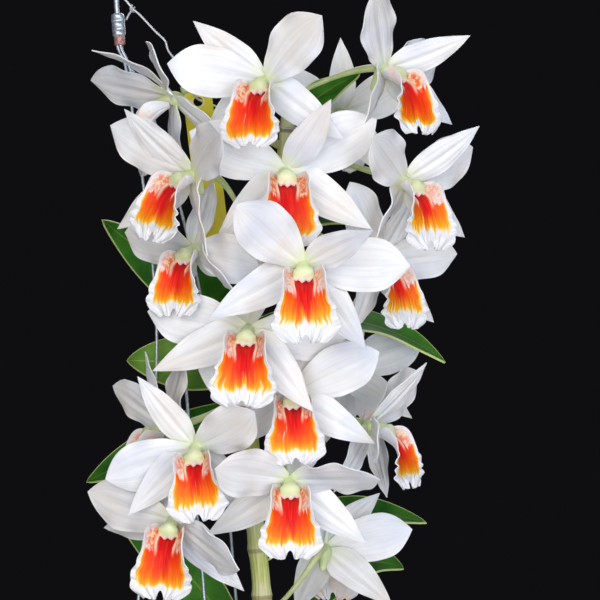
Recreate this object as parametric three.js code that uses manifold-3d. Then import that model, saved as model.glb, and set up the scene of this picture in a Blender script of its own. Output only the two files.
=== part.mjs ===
// Hanging dendrobium orchid in a terracotta pot: a flowering cane with twenty blooms, two leafy
// canes, strap leaves, a pot of bark, a three-wire hanger with its hook, a tie wire and a plain tag.
// Millimetres, +Z up. The origin is the point inside the hook that rests on the rail it hangs from.
// The front of the plant, where most blooms face, is -Y.
import * as THREE from 'three';
import { mergeVertices } from 'three/addons/utils/BufferGeometryUtils.js';
import Module from 'manifold-3d';

const wasm = await Module();
wasm.setup();

// Pot
const potCentreX = 45;
const potRimZ = -509;
const potHeight = 95;
const potRimRadius = 55;
const potRimBand = 18;
const potRimStep = 4;
const potBaseRadius = 37;
const potWall = 5;
const potFloor = 6;
const potSides = 24;
const drainHoleRadius = 6;
const wireHoleRadius = 1.25;
const wireHoleDrop = 9;

// Bark that fills the pot
const barkDrop = 13;
const barkMound = 7;
const barkGap = 0.5;
const barkChipCount = 13;
const barkChipLength = [13, 20];
const barkChipWidth = [8, 12];
const barkChipHeight = [5, 7];
const barkChipClearance = 15;
const caneHoleRadius = 5;

// The gap left between a piece and what carries it
const seatGap = 0.4;

// Hanger
const hookWireRadius = 1.2;
const hookInnerRadius = 10;
const hookAngles = [-60, -30, 0, 30, 60, 90, 120, 150, 180, 200];
const sleeveX = 2.2;
const sleeveTopZ = -40.3;
const sleeveTilt = 0.078;
const sleeveRadius = 3.1;
const sleeveLength = 10.8;
const sleeveCollarRadius = 2.6;
const sleeveCollarLength = 4.3;
const sleeveBore = 2.05;
const sleeveSolid = 5;
const hangerWireRadius = 0.7;
const wireSpread = 1;
const wiresInSleeve = [[2.7, -46], [3.4, -56.5]];
const tieWireRadius = 0.5;

// Tag
const tagWidth = 14;
const tagLength = 75;
const tagThickness = 0.7;
const tagHoleRadius = 2.2;
const tagHoleDrop = 5;
const tagCornerRadius = 3;

// Cane and stalks
const caneRadius = 4.6;
const caneEndRadius = 3.2;
const caneNodeSpacing = 23;
const caneNodeSwell = 1.12;
const caneSides = 7;
const stalkRadius = 1.25;
const ovaryRadius = 1.7;
const ovaryStart = 0.6;

// Leaves
const leafFold = 0.28;
const leafThickness = 1.1;
const leafFootStart = 0.05;

// Bloom, in its own frame: x to the bloom's right as seen from the front, y up, z forward
const bladeThickness = 0.95;
const bladeThinning = 0.6;
const heartLine = [[0, -9.5, -8.5], [0, -4.5, -4.5], [0, -1, -1], [0, -0.6, 3], [0, -2.2, 9]];
const heartRadii = [[0, 1.6], [0.28, 3], [0.45, 4.2], [0.55, 4], [0.7, 2.6], [0.9, 3.9], [1, 3]];
const stalkEnd = new THREE.Vector3(0, 1, -5.7);
const tepalStart = 1.4;

// The three kinds of tepal. Base width is a share of the full width, widest is where along the tepal
// that comes, a higher taper makes a blunter tip, cup bends the edges back and lift sets the root forward.
const tepalShapes = {
  dorsal: {
    length: 43, halfWidth: 7.5, baseWidth: 0.3, widest: 0.35, taper: 1.1, cup: -0.1, curl: -20, lift: -0.8,
  },
  petal: {
    length: 45, halfWidth: 12, baseWidth: 0.25, widest: 0.55, taper: 1.5, cup: -0.06, curl: -12, lift: 0.4,
  },
  lateral: {
    length: 45, halfWidth: 9, baseWidth: 0.3, widest: 0.25, taper: 1.1, cup: -0.1, curl: -18, lift: -0.8,
  },
};

// Lip, in the bloom's frame
const lipBase = new THREE.Vector3(0, -4.1, 2.3);
const lipLength = 37;
const lipThickness = 0.9;

// At shares of the lip's length: how steeply it hangs, half of its width along the curve across it, and
// the half angle of that curve
const lipDips = [[0, 12], [0.3, 25], [0.5, 55], [0.7, 70], [1, 72]];
const lipHalfArcs = [
  [0, 5], [0.12, 9], [0.3, 12], [0.45, 12], [0.62, 13], [0.8, 14.6], [0.92, 12.5], [1, 6.5],
];
const lipHalfAngles = [[0, 60], [0.12, 85], [0.3, 88], [0.45, 58], [0.62, 25], [0.8, 8], [1, 1]];
const lipNotch = 0.1;
const lipNotchWidth = 0.18;

// Every bloom: the place of its centre, how it faces, its size, the height on the cane that its stalk
// leaves from, and where each tepal points. Yaw turns it towards the viewer's right, pitch tilts it up
// and roll turns it counter-clockwise. A tepal is [direction, rise, twist, curl] in degrees: direction
// counts from the bloom's right towards its top, and rise is how far it leans forward. Twist turns it
// about its own length and curl bends its tip forward; they may be left out. A bloom marked half is
// half hidden by others and has plainer petals.
const blooms = [
  {
    name: '01', at: [74, -36, -76], yaw: -20, pitch: -8, roll: 0, size: 1, root: -86,
    dorsal: [140, 6], petals: [[162, 18], [40, 18]], laterals: [[215, -15], [322, 0]],
  },
  {
    name: '02', at: [130, -16, -69], yaw: 42, pitch: -5, roll: 0, size: 1, root: -80,
    dorsal: [32, 38], petals: [[129, 22], [12, -12]], laterals: [[221, 28, -30], [329, 12]],
  },
  {
    name: '03', at: [83, -36, -118], yaw: 6, pitch: -10, roll: -2, size: 1.05, root: -124,
    dorsal: [65, 32], petals: [[161, -14], [32, 0]], laterals: [[229, 0], [329, 12]],
  },
  {
    name: '04', at: [139, -24, -122], yaw: 33, pitch: -8, roll: 0, size: 1, root: -112,
    dorsal: [42, 18], petals: [[150, 28], [22, -8]], laterals: [[238, 8, -50], [326, 0]],
  },
  {
    name: '05', at: [40, -42, -120], yaw: -38, pitch: -5, roll: -10, size: 1, root: -150,
    dorsal: [140, 20], petals: [[156, 16], [35, 28]], laterals: [[222, 16], [311, 24, 40]],
  },
  {
    name: '06', at: [29, -17, -82], yaw: -80, pitch: -22, roll: 0, size: 1, half: true, root: -104,
    dorsal: [92, 40, 0, 30], petals: [[140, 40], [28, 6]], laterals: [[235, 10], [300, -26]],
  },
  {
    name: '07', at: [40, -28, -154], yaw: -25, pitch: -8, roll: 0, size: 0.95, root: -152,
    dorsal: [95, -45], petals: [[170, -15], [352, 20]], laterals: [[228, -8], [330, 30, 50]],
  },
  {
    name: '08', at: [91, -62, -162], yaw: 2, pitch: -10, roll: 2, size: 1.05, root: -170,
    dorsal: [32, 40], petals: [[132, 28], [358, 0]], laterals: [[207, 5], [305, 0]],
  },
  {
    name: '09', at: [66, -48, -191], yaw: -3, pitch: -10, roll: -2, size: 1.05, root: -184,
    dorsal: [90, -50], petals: [[174, -12], [352, -24]], laterals: [[206, 0], [312, 16]],
  },
  {
    name: '10', at: [127, -6, -160], yaw: 38, pitch: -8, roll: 0, size: 0.95, half: true, root: -142,
    dorsal: [60, 0], petals: [[120, 0], [8, 10]], laterals: [[228, 26], [320, 10]],
  },
  {
    name: '11', at: [86, -34, -221], yaw: 2, pitch: -6, roll: 2, size: 0.98, root: -206,
    dorsal: [75, -10], petals: [[165, -12], [25, 8]], laterals: [[215, -15], [328, 12]],
  },
  {
    name: '12', at: [111, 26, -212], yaw: 160, pitch: 0, roll: 0, size: 0.9, half: true, root: -220,
    dorsal: [100, 10], petals: [[160, 10], [40, 20]], laterals: [[215, 10], [290, 20]],
  },
  {
    name: '13', at: [124, -14, -237], yaw: 58, pitch: -5, roll: 0, size: 0.9, root: -242,
    dorsal: [68, 32], petals: [[190, 35], [37, 6]], laterals: [[225, 0], [300, 0]],
  },
  {
    name: '14', at: [42, -46, -245], yaw: -4, pitch: -12, roll: 8, size: 0.95, root: -238,
    dorsal: [120, 0], petals: [[191, 5], [30, 32]], laterals: [[216, 14], [300, -10]],
  },
  {
    name: '15', at: [27, -18, -238], yaw: -70, pitch: -5, roll: 0, size: 0.85, half: true, root: -228,
    dorsal: [100, 10], petals: [[145, 25], [60, -10]], laterals: [[215, 0], [235, -5]],
  },
  {
    name: '16', at: [85, -46, -260], yaw: 2, pitch: -12, roll: 0, size: 1, root: -256,
    dorsal: [55, -45], petals: [[158, 38], [10, 30, 40]], laterals: [[215, 0], [321, 8]],
  },
  {
    name: '17', at: [32, -46, -278], yaw: -12, pitch: -14, roll: -3, size: 1, root: -270,
    dorsal: [120, -54], petals: [[172, -15], [342, 34, 30]], laterals: [[200, -25], [315, 0]],
  },
  {
    name: '18', at: [102, 8, -298], yaw: 170, pitch: 0, roll: 0, size: 0.95, half: true, root: -330,
    dorsal: [133, 35], petals: [[168, 20], [60, 30]], laterals: [[222, 15], [299, 30]],
  },
  {
    name: '19', at: [92, -24, -342], yaw: 5, pitch: -8, roll: 0, size: 0.95, half: true, root: -330,
    dorsal: [118, 38], petals: [[165, 15], [35, 10, 50]], laterals: [[230, 10], [310, 10]],
  },
  {
    name: '20', at: [110, 34, -86], yaw: 180, pitch: 0, roll: 0, size: 0.9, half: true, root: -114,
    dorsal: [90, 10], petals: [[150, 10], [30, 10]], laterals: [[230, 10], [310, 10]],
  },
];

// Centre lines of the canes, from the bark upwards
const flowerCaneLine = [
  [52, 3, -545], [52, 3, -520], [52.3, 3, -500], [60, 2, -440], [69, 2, -370], [71.5, 2, -322], [68, 2, -283],
  [65.8, 2, -240], [66, 2, -192], [70, 2, -157], [77.8, 2, -130], [83, 2, -100], [85, 2, -74],
];
const backCaneLines = [
  [[36, 12, -545], [36, 12, -520], [36.3, 12.2, -500], [44, 19, -440], [58, 24, -380], [66, 25, -345]],
  [[64, 14, -545], [64, 14, -520], [64.3, 14.2, -500], [77, 20, -440], [88, 24, -370], [91, 26, -332]],
];

// Leaves: the cane and the height that each grows from, a point that the midrib bends towards, its
// tip, half of its width and the way that its upper face looks
const leaves = [
  {
    cane: flowerCaneLine, z: -194, bend: [34, 58, -172], tip: [-8, 28, -138],
    half: 14, up: [-0.3, -1, 0.4],
  },
  {
    cane: flowerCaneLine, z: -218, bend: [35, 7, -205], tip: [6, 7, -207],
    half: 14, up: [0, -1, 0.3],
  },
  {
    cane: flowerCaneLine, z: -227, bend: [22, 28, -248], tip: [-15, 22, -267],
    half: 11, up: [0.2, -1, 0.6],
  },
  {
    cane: backCaneLines[0], z: -350, bend: [28, 30, -300], tip: [-5, 26, -276],
    half: 13, up: [-0.3, -1, 0.5],
  },
  {
    cane: flowerCaneLine, z: -190, bend: [120, 10, -178], tip: [160, 8, -208],
    half: 11, up: [0.2, -0.6, 1],
  },
  {
    cane: flowerCaneLine, z: -306, bend: [98, 60, -276], tip: [153, 40, -289],
    half: 11, up: [0, -0.8, 0.8],
  },
  {
    cane: backCaneLines[1], z: -338, bend: [112, 58, -300], tip: [142, 48, -313],
    half: 12, up: [0.2, -0.8, 0.8],
  },
  {
    cane: flowerCaneLine, z: -93, bend: [95, 11, -80], tip: [119, 12, -68],
    half: 8, up: [-0.4, -1, 0.4],
  },
  {
    cane: flowerCaneLine, z: -158, bend: [74, 34, -124], tip: [140, 34, -142],
    half: 11, up: [0, -0.8, 0.8],
  },
];

// The three hanger wires: the side of the pot that each goes to, and its way there from the sleeve
const hangerWires = [
  {
    azimuth: 180,
    line: [
      [5.4, 1, -63], [7.9, 3, -79], [10, 4, -94], [14, 4, -120], [20, 1, -173], [21, 0, -197],
      [20, 0, -228], [12.5, 0, -317], [5, 0, -430],
    ],
  },
  {
    azimuth: 60,
    line: [[6.9, 1.5, -63], [15, 6, -79], [37, 12, -154], [49, 20, -226], [58, 27, -322], [64, 33, -430]],
  },
  {
    azimuth: 300,
    line: [
      [6.9, -0.5, -63], [12, 1, -79], [14.8, 3, -94], [25, 2, -139], [33, -4, -190], [36.3, -9, -228],
      [42.7, -10, -300], [52, -22, -400],
    ],
  },
];

// The tie wire from the hook's shank, through the tag's hole, to the top of the flowering cane
const tieWireLine = [
  [1.75, -2.2, -27], [3.9, -0.7, -27.6], [3.1, 1.7, -28.3], [0.7, 2, -29], [-0.4, -0.4, -29.7],
  [1, -2.1, -30.4],
  [3.4, -2.2, -31.6], [6.2, -2, -34], [9.6, -1, -38], [12.5, -1, -40.5], [20.6, -1, -49], [25, 0, -53.3],
  [26.4, 0, -57.6], [30.2, 1, -63], [34.6, 2, -70.6], [39.6, 3, -79.8], [42, 8, -81.3], [50, 10, -84],
  [66, 9, -90], [76, 8, -93], [80.7, 5.5, -94], [84.8, 6.7, -94.3], [88.2, 4.4, -94.6],
  [88.5, 0.4, -94.9], [85.6, -2.5, -95.2],
  [81.6, -2.2, -95.5],
];
const tieWireTail = [[9.6, -1, -38], [8, -2, -40.5], [6.7, -3, -43.5]];

// The top of the tag, and how far it leans from upright, in degrees
const tagTop = [40, 5, -77];
const tagLean = 7;

function degrees(angle) {
  return THREE.MathUtils.degToRad(angle);
}

function vector(values) {
  return new THREE.Vector3(...values);
}

// The value at t on a line through (position, value) pairs
function along(pairs, t) {
  const next = pairs.findIndex(([position]) => position >= t);
  if (next <= 0) return pairs[Math.max(next, 0)][1];
  const [start, startValue] = pairs[next - 1];
  const [end, endValue] = pairs[next];
  return THREE.MathUtils.lerp(startValue, endValue, (t - start) / (end - start));
}

// A seeded source of even random numbers from 0 to 1
function makeRandom(seed) {
  let state = seed;
  return () => {
    state = (state * 1664525 + 1013904223) % 4294967296;
    return state / 4294967296;
  };
}

function finish(color, roughness, metalness = 0) {
  return new THREE.MeshStandardMaterial({ color, roughness, metalness });
}

function toSolid(geometry) {
  const bare = geometry.clone();
  bare.deleteAttribute('normal');
  bare.deleteAttribute('uv');
  const merged = mergeVertices(bare, 1e-4);
  return new wasm.Manifold(new wasm.Mesh({
    numProp: 3,
    vertProperties: new Float32Array(merged.getAttribute('position').array),
    triVerts: new Uint32Array(merged.index.array),
  }));
}

function toGeometry(solid) {
  const mesh = solid.getMesh();
  const geometry = new THREE.BufferGeometry();
  geometry.setAttribute('position', new THREE.BufferAttribute(new Float32Array(mesh.vertProperties), 3));
  geometry.setIndex(Array.from(mesh.triVerts));
  return geometry;
}

function fuse(geometries) {
  return toGeometry(geometries.map(toSolid).reduce((whole, piece) => whole.add(piece)));
}

function cut(geometry, tools) {
  return toGeometry(tools.map(toSolid).reduce((whole, tool) => whole.subtract(tool), toSolid(geometry)));
}

// The volume inside a closed geometry, negative where its faces point in
function signedVolume(geometry) {
  const position = geometry.getAttribute('position');
  const [a, b, c] = [new THREE.Vector3(), new THREE.Vector3(), new THREE.Vector3()];
  let volume = 0;
  for (let i = 0; i < geometry.index.count; i += 3) {
    a.fromBufferAttribute(position, geometry.index.getX(i));
    b.fromBufferAttribute(position, geometry.index.getX(i + 1));
    c.fromBufferAttribute(position, geometry.index.getX(i + 2));
    volume += a.dot(b.cross(c)) / 6;
  }
  return volume;
}

// A closed blade of lens section, thin at its rim. surface(t, s) gives the middle point and the unit
// normal at t along the blade, from 0 to 1, and s across it, from -1 to 1. Both faces share the rim and
// are split into triangles alike. A pointed blade ends in one point.
function bladeGeometry(surface, rows, columns, thickness, pointed) {
  const points = [];
  const index = [];
  const faces = [[], []];
  for (let i = 0; i <= rows; i += 1) {
    const atTip = pointed && i === rows;
    for (let j = 0; j <= columns; j += 1) {
      const s = (2 * j) / columns - 1;
      const onRim = i === 0 || i === rows || j === 0 || j === columns;
      if (atTip && j > 0) {
        faces.forEach((face) => face.push(face[i * (columns + 1)]));
      } else {
        const { point, normal } = surface(i / rows, atTip ? 0 : s);
        const half = onRim ? 0 : (thickness / 2) * Math.sqrt(1 - s * s * bladeThinning);
        faces.forEach((face, side) => {
          if (onRim && side === 1) {
            face.push(faces[0][i * (columns + 1) + j]);
          } else {
            face.push(points.length);
            points.push(point.clone().addScaledVector(normal, side === 0 ? half : -half));
          }
        });
      }
    }
  }
  faces.forEach((face, side) => {
    for (let i = 0; i < rows; i += 1) {
      for (let j = 0; j < columns; j += 1) {
        const corner = i * (columns + 1) + j;
        const [a, b] = [face[corner], face[corner + 1]];
        const [c, d] = [face[corner + columns + 1], face[corner + columns + 2]];
        const leftHalf = j < columns / 2;
        const risingDiagonal = (i === rows - 1 && !pointed) ? !leftHalf : leftHalf;
        const split = risingDiagonal ? [[a, b, d], [a, d, c]] : [[a, b, c], [b, d, c]];
        split.forEach(([p, q, r]) => {
          if (p !== q && q !== r && r !== p) index.push(...(side === 0 ? [p, q, r] : [p, r, q]));
        });
      }
    }
  });
  const geometry = new THREE.BufferGeometry();
  const numbers = points.flatMap((point) => point.toArray());
  geometry.setAttribute('position', new THREE.Float32BufferAttribute(numbers, 3));
  geometry.setIndex(index);
  if (signedVolume(geometry) < 0) {
    geometry.setIndex(index.map((_, k) => index[k - (k % 3) + [0, 2, 1][k % 3]]));
  }
  return geometry;
}

// A closed round bar along a curve, with a radius that changes along it. Its rings lie evenly along
// the curve, or evenly between the curve's own points, which puts more of them in tight bends.
function barGeometry(curve, radiusAt, sides, steps, evenly = true) {
  const points = [];
  const index = [];
  const across = new THREE.Vector3(0.3, 1, 0.1);
  for (let i = 0; i <= steps; i += 1) {
    const place = evenly ? curve.getUtoTmapping(i / steps) : i / steps;
    const centre = curve.getPoint(place);
    const heading = curve.getTangent(place);
    across.addScaledVector(heading, -across.dot(heading)).normalize();
    const other = new THREE.Vector3().crossVectors(heading, across);
    const radius = radiusAt(i / steps);
    for (let j = 0; j < sides; j += 1) {
      const angle = (2 * Math.PI * j) / sides;
      points.push(centre.clone()
        .addScaledVector(across, radius * Math.cos(angle))
        .addScaledVector(other, radius * Math.sin(angle)));
    }
  }
  for (let i = 0; i < steps; i += 1) {
    for (let j = 0; j < sides; j += 1) {
      const a = i * sides + j;
      const b = i * sides + ((j + 1) % sides);
      index.push(a, b, b + sides, a, b + sides, a + sides);
    }
  }
  const last = steps * sides;
  for (let j = 1; j < sides - 1; j += 1) {
    index.push(0, j + 1, j, last, last + j, last + j + 1);
  }
  const geometry = new THREE.BufferGeometry();
  const numbers = points.flatMap((point) => point.toArray());
  geometry.setAttribute('position', new THREE.Float32BufferAttribute(numbers, 3));
  geometry.setIndex(index);
  return geometry;
}

function smoothCurve(points) {
  return new THREE.CatmullRomCurve3(points.map(vector), false, 'centripetal');
}

// How wide a tepal is at t along it, as a share of its greatest half width
function tepalWidth(shape, t) {
  if (t < shape.widest) {
    return shape.baseWidth + (1 - shape.baseWidth) * Math.sin(((Math.PI / 2) * t) / shape.widest);
  }
  return Math.cos((Math.PI / 2) * ((t - shape.widest) / (1 - shape.widest)) ** shape.taper);
}

// A tepal in the bloom's frame: it starts inside the heart and bends steadily back towards its tip
function tepalGeometry(shape, [direction, rise, twist = 0, curl = shape.curl], size, rows, columns) {
  const azimuth = degrees(direction);
  const outward = new THREE.Vector3(Math.cos(azimuth), Math.sin(azimuth), 0);
  const forward = new THREE.Vector3(0, 0, 1);
  const sideways = new THREE.Vector3().crossVectors(forward, outward);
  const start = outward.clone().multiplyScalar(tepalStart).addScaledVector(forward, shape.lift);
  const bendAt = (t) => degrees(rise + curl * (t - 0.5));
  const length = shape.length * size;
  const surface = (t, s) => {
    const bend = degrees(curl);
    const reach = (length / bend) * (Math.sin(bendAt(t)) - Math.sin(bendAt(0)));
    const climb = (length / bend) * (Math.cos(bendAt(0)) - Math.cos(bendAt(t)));
    const heading = outward.clone().multiplyScalar(Math.cos(bendAt(t)))
      .addScaledVector(forward, Math.sin(bendAt(t)));
    const side = sideways.clone().applyAxisAngle(heading, degrees(twist * Math.min(1, 3 * t)));
    const normal = new THREE.Vector3().crossVectors(heading, side);
    const halfWidth = shape.halfWidth * size * tepalWidth(shape, t);
    const point = start.clone().addScaledVector(outward, reach).addScaledVector(forward, climb)
      .addScaledVector(side, halfWidth * s).addScaledVector(normal, shape.cup * halfWidth * s * s);
    return { point, normal };
  };
  return bladeGeometry(surface, rows, columns, bladeThickness, true);
}

// The spur behind the bloom, the heart that the tepals grow from and the column in front, as one bar
function heartGeometry() {
  const curve = smoothCurve(heartLine);
  return barGeometry(curve, (t) => along(heartRadii, t), 5, 6);
}

// The five tepals with the heart and column, as one body
function tepalsGeometry(bloom) {
  const blades = [
    tepalGeometry(tepalShapes.dorsal, bloom.dorsal, bloom.size, 4, 2),
    ...bloom.petals.map((petal) => (
      tepalGeometry(tepalShapes.petal, petal, bloom.size, 4, bloom.half ? 2 : 4)
    )),
    ...bloom.laterals.map((lateral) => (
      tepalGeometry(tepalShapes.lateral, lateral, bloom.size, 4, 2)
    )),
  ];
  return fuse([heartGeometry(), ...blades]);
}

// The lip: a trough at its foot, with raised side lobes, that opens into a broad hanging blade
function lipGeometry(size) {
  const steps = 40;
  const centreLine = [lipBase.clone()];
  for (let i = 0; i < steps; i += 1) {
    const dip = degrees(along(lipDips, (i + 0.5) / steps));
    const step = (lipLength * size) / steps;
    const advance = new THREE.Vector3(0, -Math.sin(dip), Math.cos(dip)).multiplyScalar(step);
    centreLine.push(centreLine[i].clone().add(advance));
  }
  const surface = (t, s) => {
    const v = t * (1 - lipNotch * Math.exp(-((s / lipNotchWidth) ** 2)) * t * t);
    const place = v * steps;
    const lower = Math.min(Math.floor(place), steps - 1);
    const centre = centreLine[lower].clone().lerp(centreLine[lower + 1], place - lower);
    const dip = degrees(along(lipDips, v));
    const halfAngle = degrees(along(lipHalfAngles, v));
    const radius = (along(lipHalfArcs, v) * size) / halfAngle;
    const angle = s * halfAngle;
    const up = new THREE.Vector3(0, Math.cos(dip), Math.sin(dip));
    const point = centre.addScaledVector(up, radius * (1 - Math.cos(angle)));
    point.x += radius * Math.sin(angle);
    return { point, normal: up.clone().multiplyScalar(Math.cos(angle)).setX(-Math.sin(angle)) };
  };
  return bladeGeometry(surface, 5, 6, lipThickness, false);
}

// The matrix that puts a bloom's frame in its place
function bloomMatrix({ at, yaw, pitch, roll }) {
  const [turn, tilt] = [degrees(yaw), degrees(pitch)];
  const facing = new THREE.Vector3(
    Math.sin(turn) * Math.cos(tilt),
    -Math.cos(turn) * Math.cos(tilt),
    Math.sin(tilt),
  );
  const up = new THREE.Vector3(0, 0, 1).addScaledVector(facing, -facing.z).normalize();
  up.applyAxisAngle(facing, degrees(roll));
  const right = new THREE.Vector3().crossVectors(up, facing);
  return new THREE.Matrix4().makeBasis(right, up, facing).setPosition(...at);
}

// The point at height z on a line that runs upwards
function pointAtHeight(line, z) {
  const next = line.findIndex((point) => point[2] >= z);
  const [low, high] = [vector(line[next - 1]), vector(line[next])];
  return low.lerp(high, (z - low.z) / (high.z - low.z));
}

// A stalk leaves the cane, climbs a little and reaches the bloom's back along its facing
function stalkGeometry(bloom) {
  const matrix = bloomMatrix(bloom);
  const end = stalkEnd.clone().applyMatrix4(matrix);
  const facing = new THREE.Vector3().setFromMatrixColumn(matrix, 2);
  const start = pointAtHeight(flowerCaneLine, bloom.root);
  const span = end.distanceTo(start);
  const outward = end.clone().sub(start).setZ(0).normalize();
  const curve = new THREE.CubicBezierCurve3(
    start,
    start.clone().addScaledVector(outward, span * 0.3).add(new THREE.Vector3(0, 0, span * 0.12)),
    end.clone().addScaledVector(facing, -span * 0.4),
    end,
  );
  return barGeometry(curve, (t) => (t > ovaryStart ? ovaryRadius : stalkRadius), 4, 5);
}

// A cane swells at every node
function caneGeometry(line) {
  const curve = smoothCurve(line);
  const nodes = Math.round(curve.getLength() / caneNodeSpacing);
  const radiusAt = (t) => {
    const fullness = Math.sin(Math.PI * Math.min(0.95, t + 0.1));
    const middle = THREE.MathUtils.lerp(caneEndRadius, caneRadius, fullness);
    return Math.round(t * nodes * 2) % 2 === 0 ? middle * caneNodeSwell : middle;
  };
  return barGeometry(curve, radiusAt, caneSides, nodes * 2);
}

// A leaf's edges turn up beside its midrib
function leafAcross(heading, up, halfWidth, s) {
  const side = new THREE.Vector3().crossVectors(heading, vector(up)).normalize();
  const normal = new THREE.Vector3().crossVectors(side, heading);
  const offset = side.multiplyScalar(halfWidth * s)
    .addScaledVector(normal, leafFold * halfWidth * Math.abs(s));
  return { offset, normal };
}

// The share of its full width that a leaf has at t along it
function leafWidth(t) {
  return Math.sin(Math.PI * THREE.MathUtils.lerp(leafFootStart, 1, t)) ** 0.75;
}

// Where a leaf's midrib starts, so that the whole foot stands just clear of its cane
function leafFoot({ cane, z, bend, half, up }) {
  const middle = pointAtHeight(smoothCurve(cane).getSpacedPoints(200).map((point) => point.toArray()), z);
  const heading = vector(bend).sub(middle);
  const outward = heading.clone().setZ(0).normalize();
  const bothSides = new THREE.MeshBasicMaterial({ side: THREE.DoubleSide });
  const surface = new THREE.Mesh(caneGeometry(cane), bothSides);
  const [hit] = new THREE.Raycaster(middle, outward).intersectObject(surface);
  const inward = [-1, 1].map((s) => (
    -leafAcross(heading.normalize(), up, half * leafWidth(0), s).offset.dot(outward)
  ));
  return hit.point.addScaledVector(outward, seatGap + Math.max(0, ...inward));
}

function leafGeometry(leaf) {
  const curve = new THREE.QuadraticBezierCurve3(leafFoot(leaf), vector(leaf.bend), vector(leaf.tip));
  const surface = (t, s) => {
    const { offset, normal } = leafAcross(curve.getTangentAt(t), leaf.up, leaf.half * leafWidth(t), s);
    return { point: offset.add(curve.getPointAt(t)), normal };
  };
  return bladeGeometry(surface, 6, 4, leafThickness, true);
}

function potGeometry() {
  const outer = (drop) => THREE.MathUtils.lerp(potRimRadius - potRimStep, potBaseRadius, drop / potHeight);
  const profile = [
    [0, -potHeight], [potBaseRadius, -potHeight],
    [outer(potRimBand), -potRimBand], [potRimRadius, -potRimBand], [potRimRadius, 0],
    [potRimRadius - potRimStep - potWall, 0],
    [potBaseRadius - potWall, -potHeight + potFloor], [0, -potHeight + potFloor],
  ];
  const pot = new THREE.LatheGeometry(profile.map(([r, z]) => new THREE.Vector2(r, z)), potSides);
  pot.rotateX(Math.PI / 2);
  const drain = new THREE.CylinderGeometry(drainHoleRadius, drainHoleRadius, potFloor * 4, 16);
  drain.rotateX(Math.PI / 2);
  drain.translate(0, 0, -potHeight);
  const holes = hangerWires.map(({ azimuth }) => {
    const hole = new THREE.CylinderGeometry(wireHoleRadius, wireHoleRadius, potWall * 5, 8);
    hole.rotateZ(Math.PI / 2);
    hole.translate(potRimRadius - potWall, 0, -wireHoleDrop);
    return hole.rotateZ(degrees(azimuth));
  });
  return cut(pot, [drain, ...holes]).translate(potCentreX, 0, potRimZ);
}

// The pot's inner radius at a drop below its rim
function potInnerRadius(drop) {
  const top = potRimRadius - potRimStep - potWall;
  return THREE.MathUtils.lerp(top, potBaseRadius - potWall, drop / (potHeight - potFloor));
}

// Bark up to below the rim: a mound with loose chips bedded in its top, and a plain hole for each cane
function barkGeometry() {
  const random = makeRandom(7);
  const edge = potInnerRadius(barkDrop) - barkGap;
  const floor = potFloor - potHeight + barkGap;
  const profile = [
    [0, floor], [potBaseRadius - potWall - barkGap, floor], [edge, -barkDrop],
    [edge * 0.6, barkMound * 0.75 - barkDrop], [0, barkMound - barkDrop],
  ];
  const mound = new THREE.LatheGeometry(profile.map(([r, z]) => new THREE.Vector2(r, z)), 16);
  mound.rotateX(Math.PI / 2);
  const chips = [];
  const caneFeet = [flowerCaneLine, ...backCaneLines].map((line) => vector(line[0]));
  while (chips.length < barkChipCount) {
    const reach = Math.sqrt(random()) * (edge - 12);
    const azimuth = random() * 2 * Math.PI;
    const [x, y] = [reach * Math.cos(azimuth), reach * Math.sin(azimuth)];
    const [length, width, height] = [barkChipLength, barkChipWidth, barkChipHeight]
      .map(([least, most]) => THREE.MathUtils.lerp(least, most, random()));
    const chip = new THREE.BoxGeometry(length, width, height);
    chip.rotateX(random() - 0.5);
    chip.rotateY(random() - 0.5);
    chip.rotateZ(random() * Math.PI);
    chip.translate(x, y, barkMound * (1 - (reach / edge) ** 2) - barkDrop + 0.5);
    const clear = caneFeet.every((foot) => (
      Math.hypot(foot.x - potCentreX - x, foot.y - y) > barkChipClearance
    ));
    if (clear) chips.push(chip);
  }
  const holes = caneFeet.map((foot) => {
    const hole = new THREE.CylinderGeometry(caneHoleRadius, caneHoleRadius, 60, 10);
    hole.rotateX(Math.PI / 2);
    return hole.translate(foot.x - potCentreX, foot.y, foot.z - potRimZ + 30 - seatGap);
  });
  return cut(fuse([mound, ...chips]), holes).translate(potCentreX, 0, potRimZ);
}

// A hanger wire: out of the sleeve's bore, down to the pot, and out through its hole in an upturned end
function hangerWireGeometry({ azimuth, line }) {
  const side = new THREE.Vector3(Math.cos(degrees(azimuth)), Math.sin(degrees(azimuth)), 0);
  const inSleeve = wiresInSleeve
    .map(([x, z]) => new THREE.Vector3(x, 0, z).addScaledVector(side, wireSpread));
  const holeZ = potRimZ - wireHoleDrop;
  const wall = potInnerRadius(wireHoleDrop);
  const atPot = [
    [wall - 2, holeZ + 12], [wall - 1.6, holeZ + 3], [wall + 0.6, holeZ + 0.1], [potRimRadius, holeZ],
    [potRimRadius + 1.9, holeZ + 1.2], [potRimRadius + 2.2, holeZ + 5],
  ].map(([reach, z]) => new THREE.Vector3(potCentreX, 0, z).addScaledVector(side, reach));
  const points = [...inSleeve, ...line.map(vector), ...atPot];
  const curve = new THREE.CatmullRomCurve3(points, false, 'centripetal');
  return barGeometry(curve, () => hangerWireRadius, 5, (points.length - 1) * 2, false);
}

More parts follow.
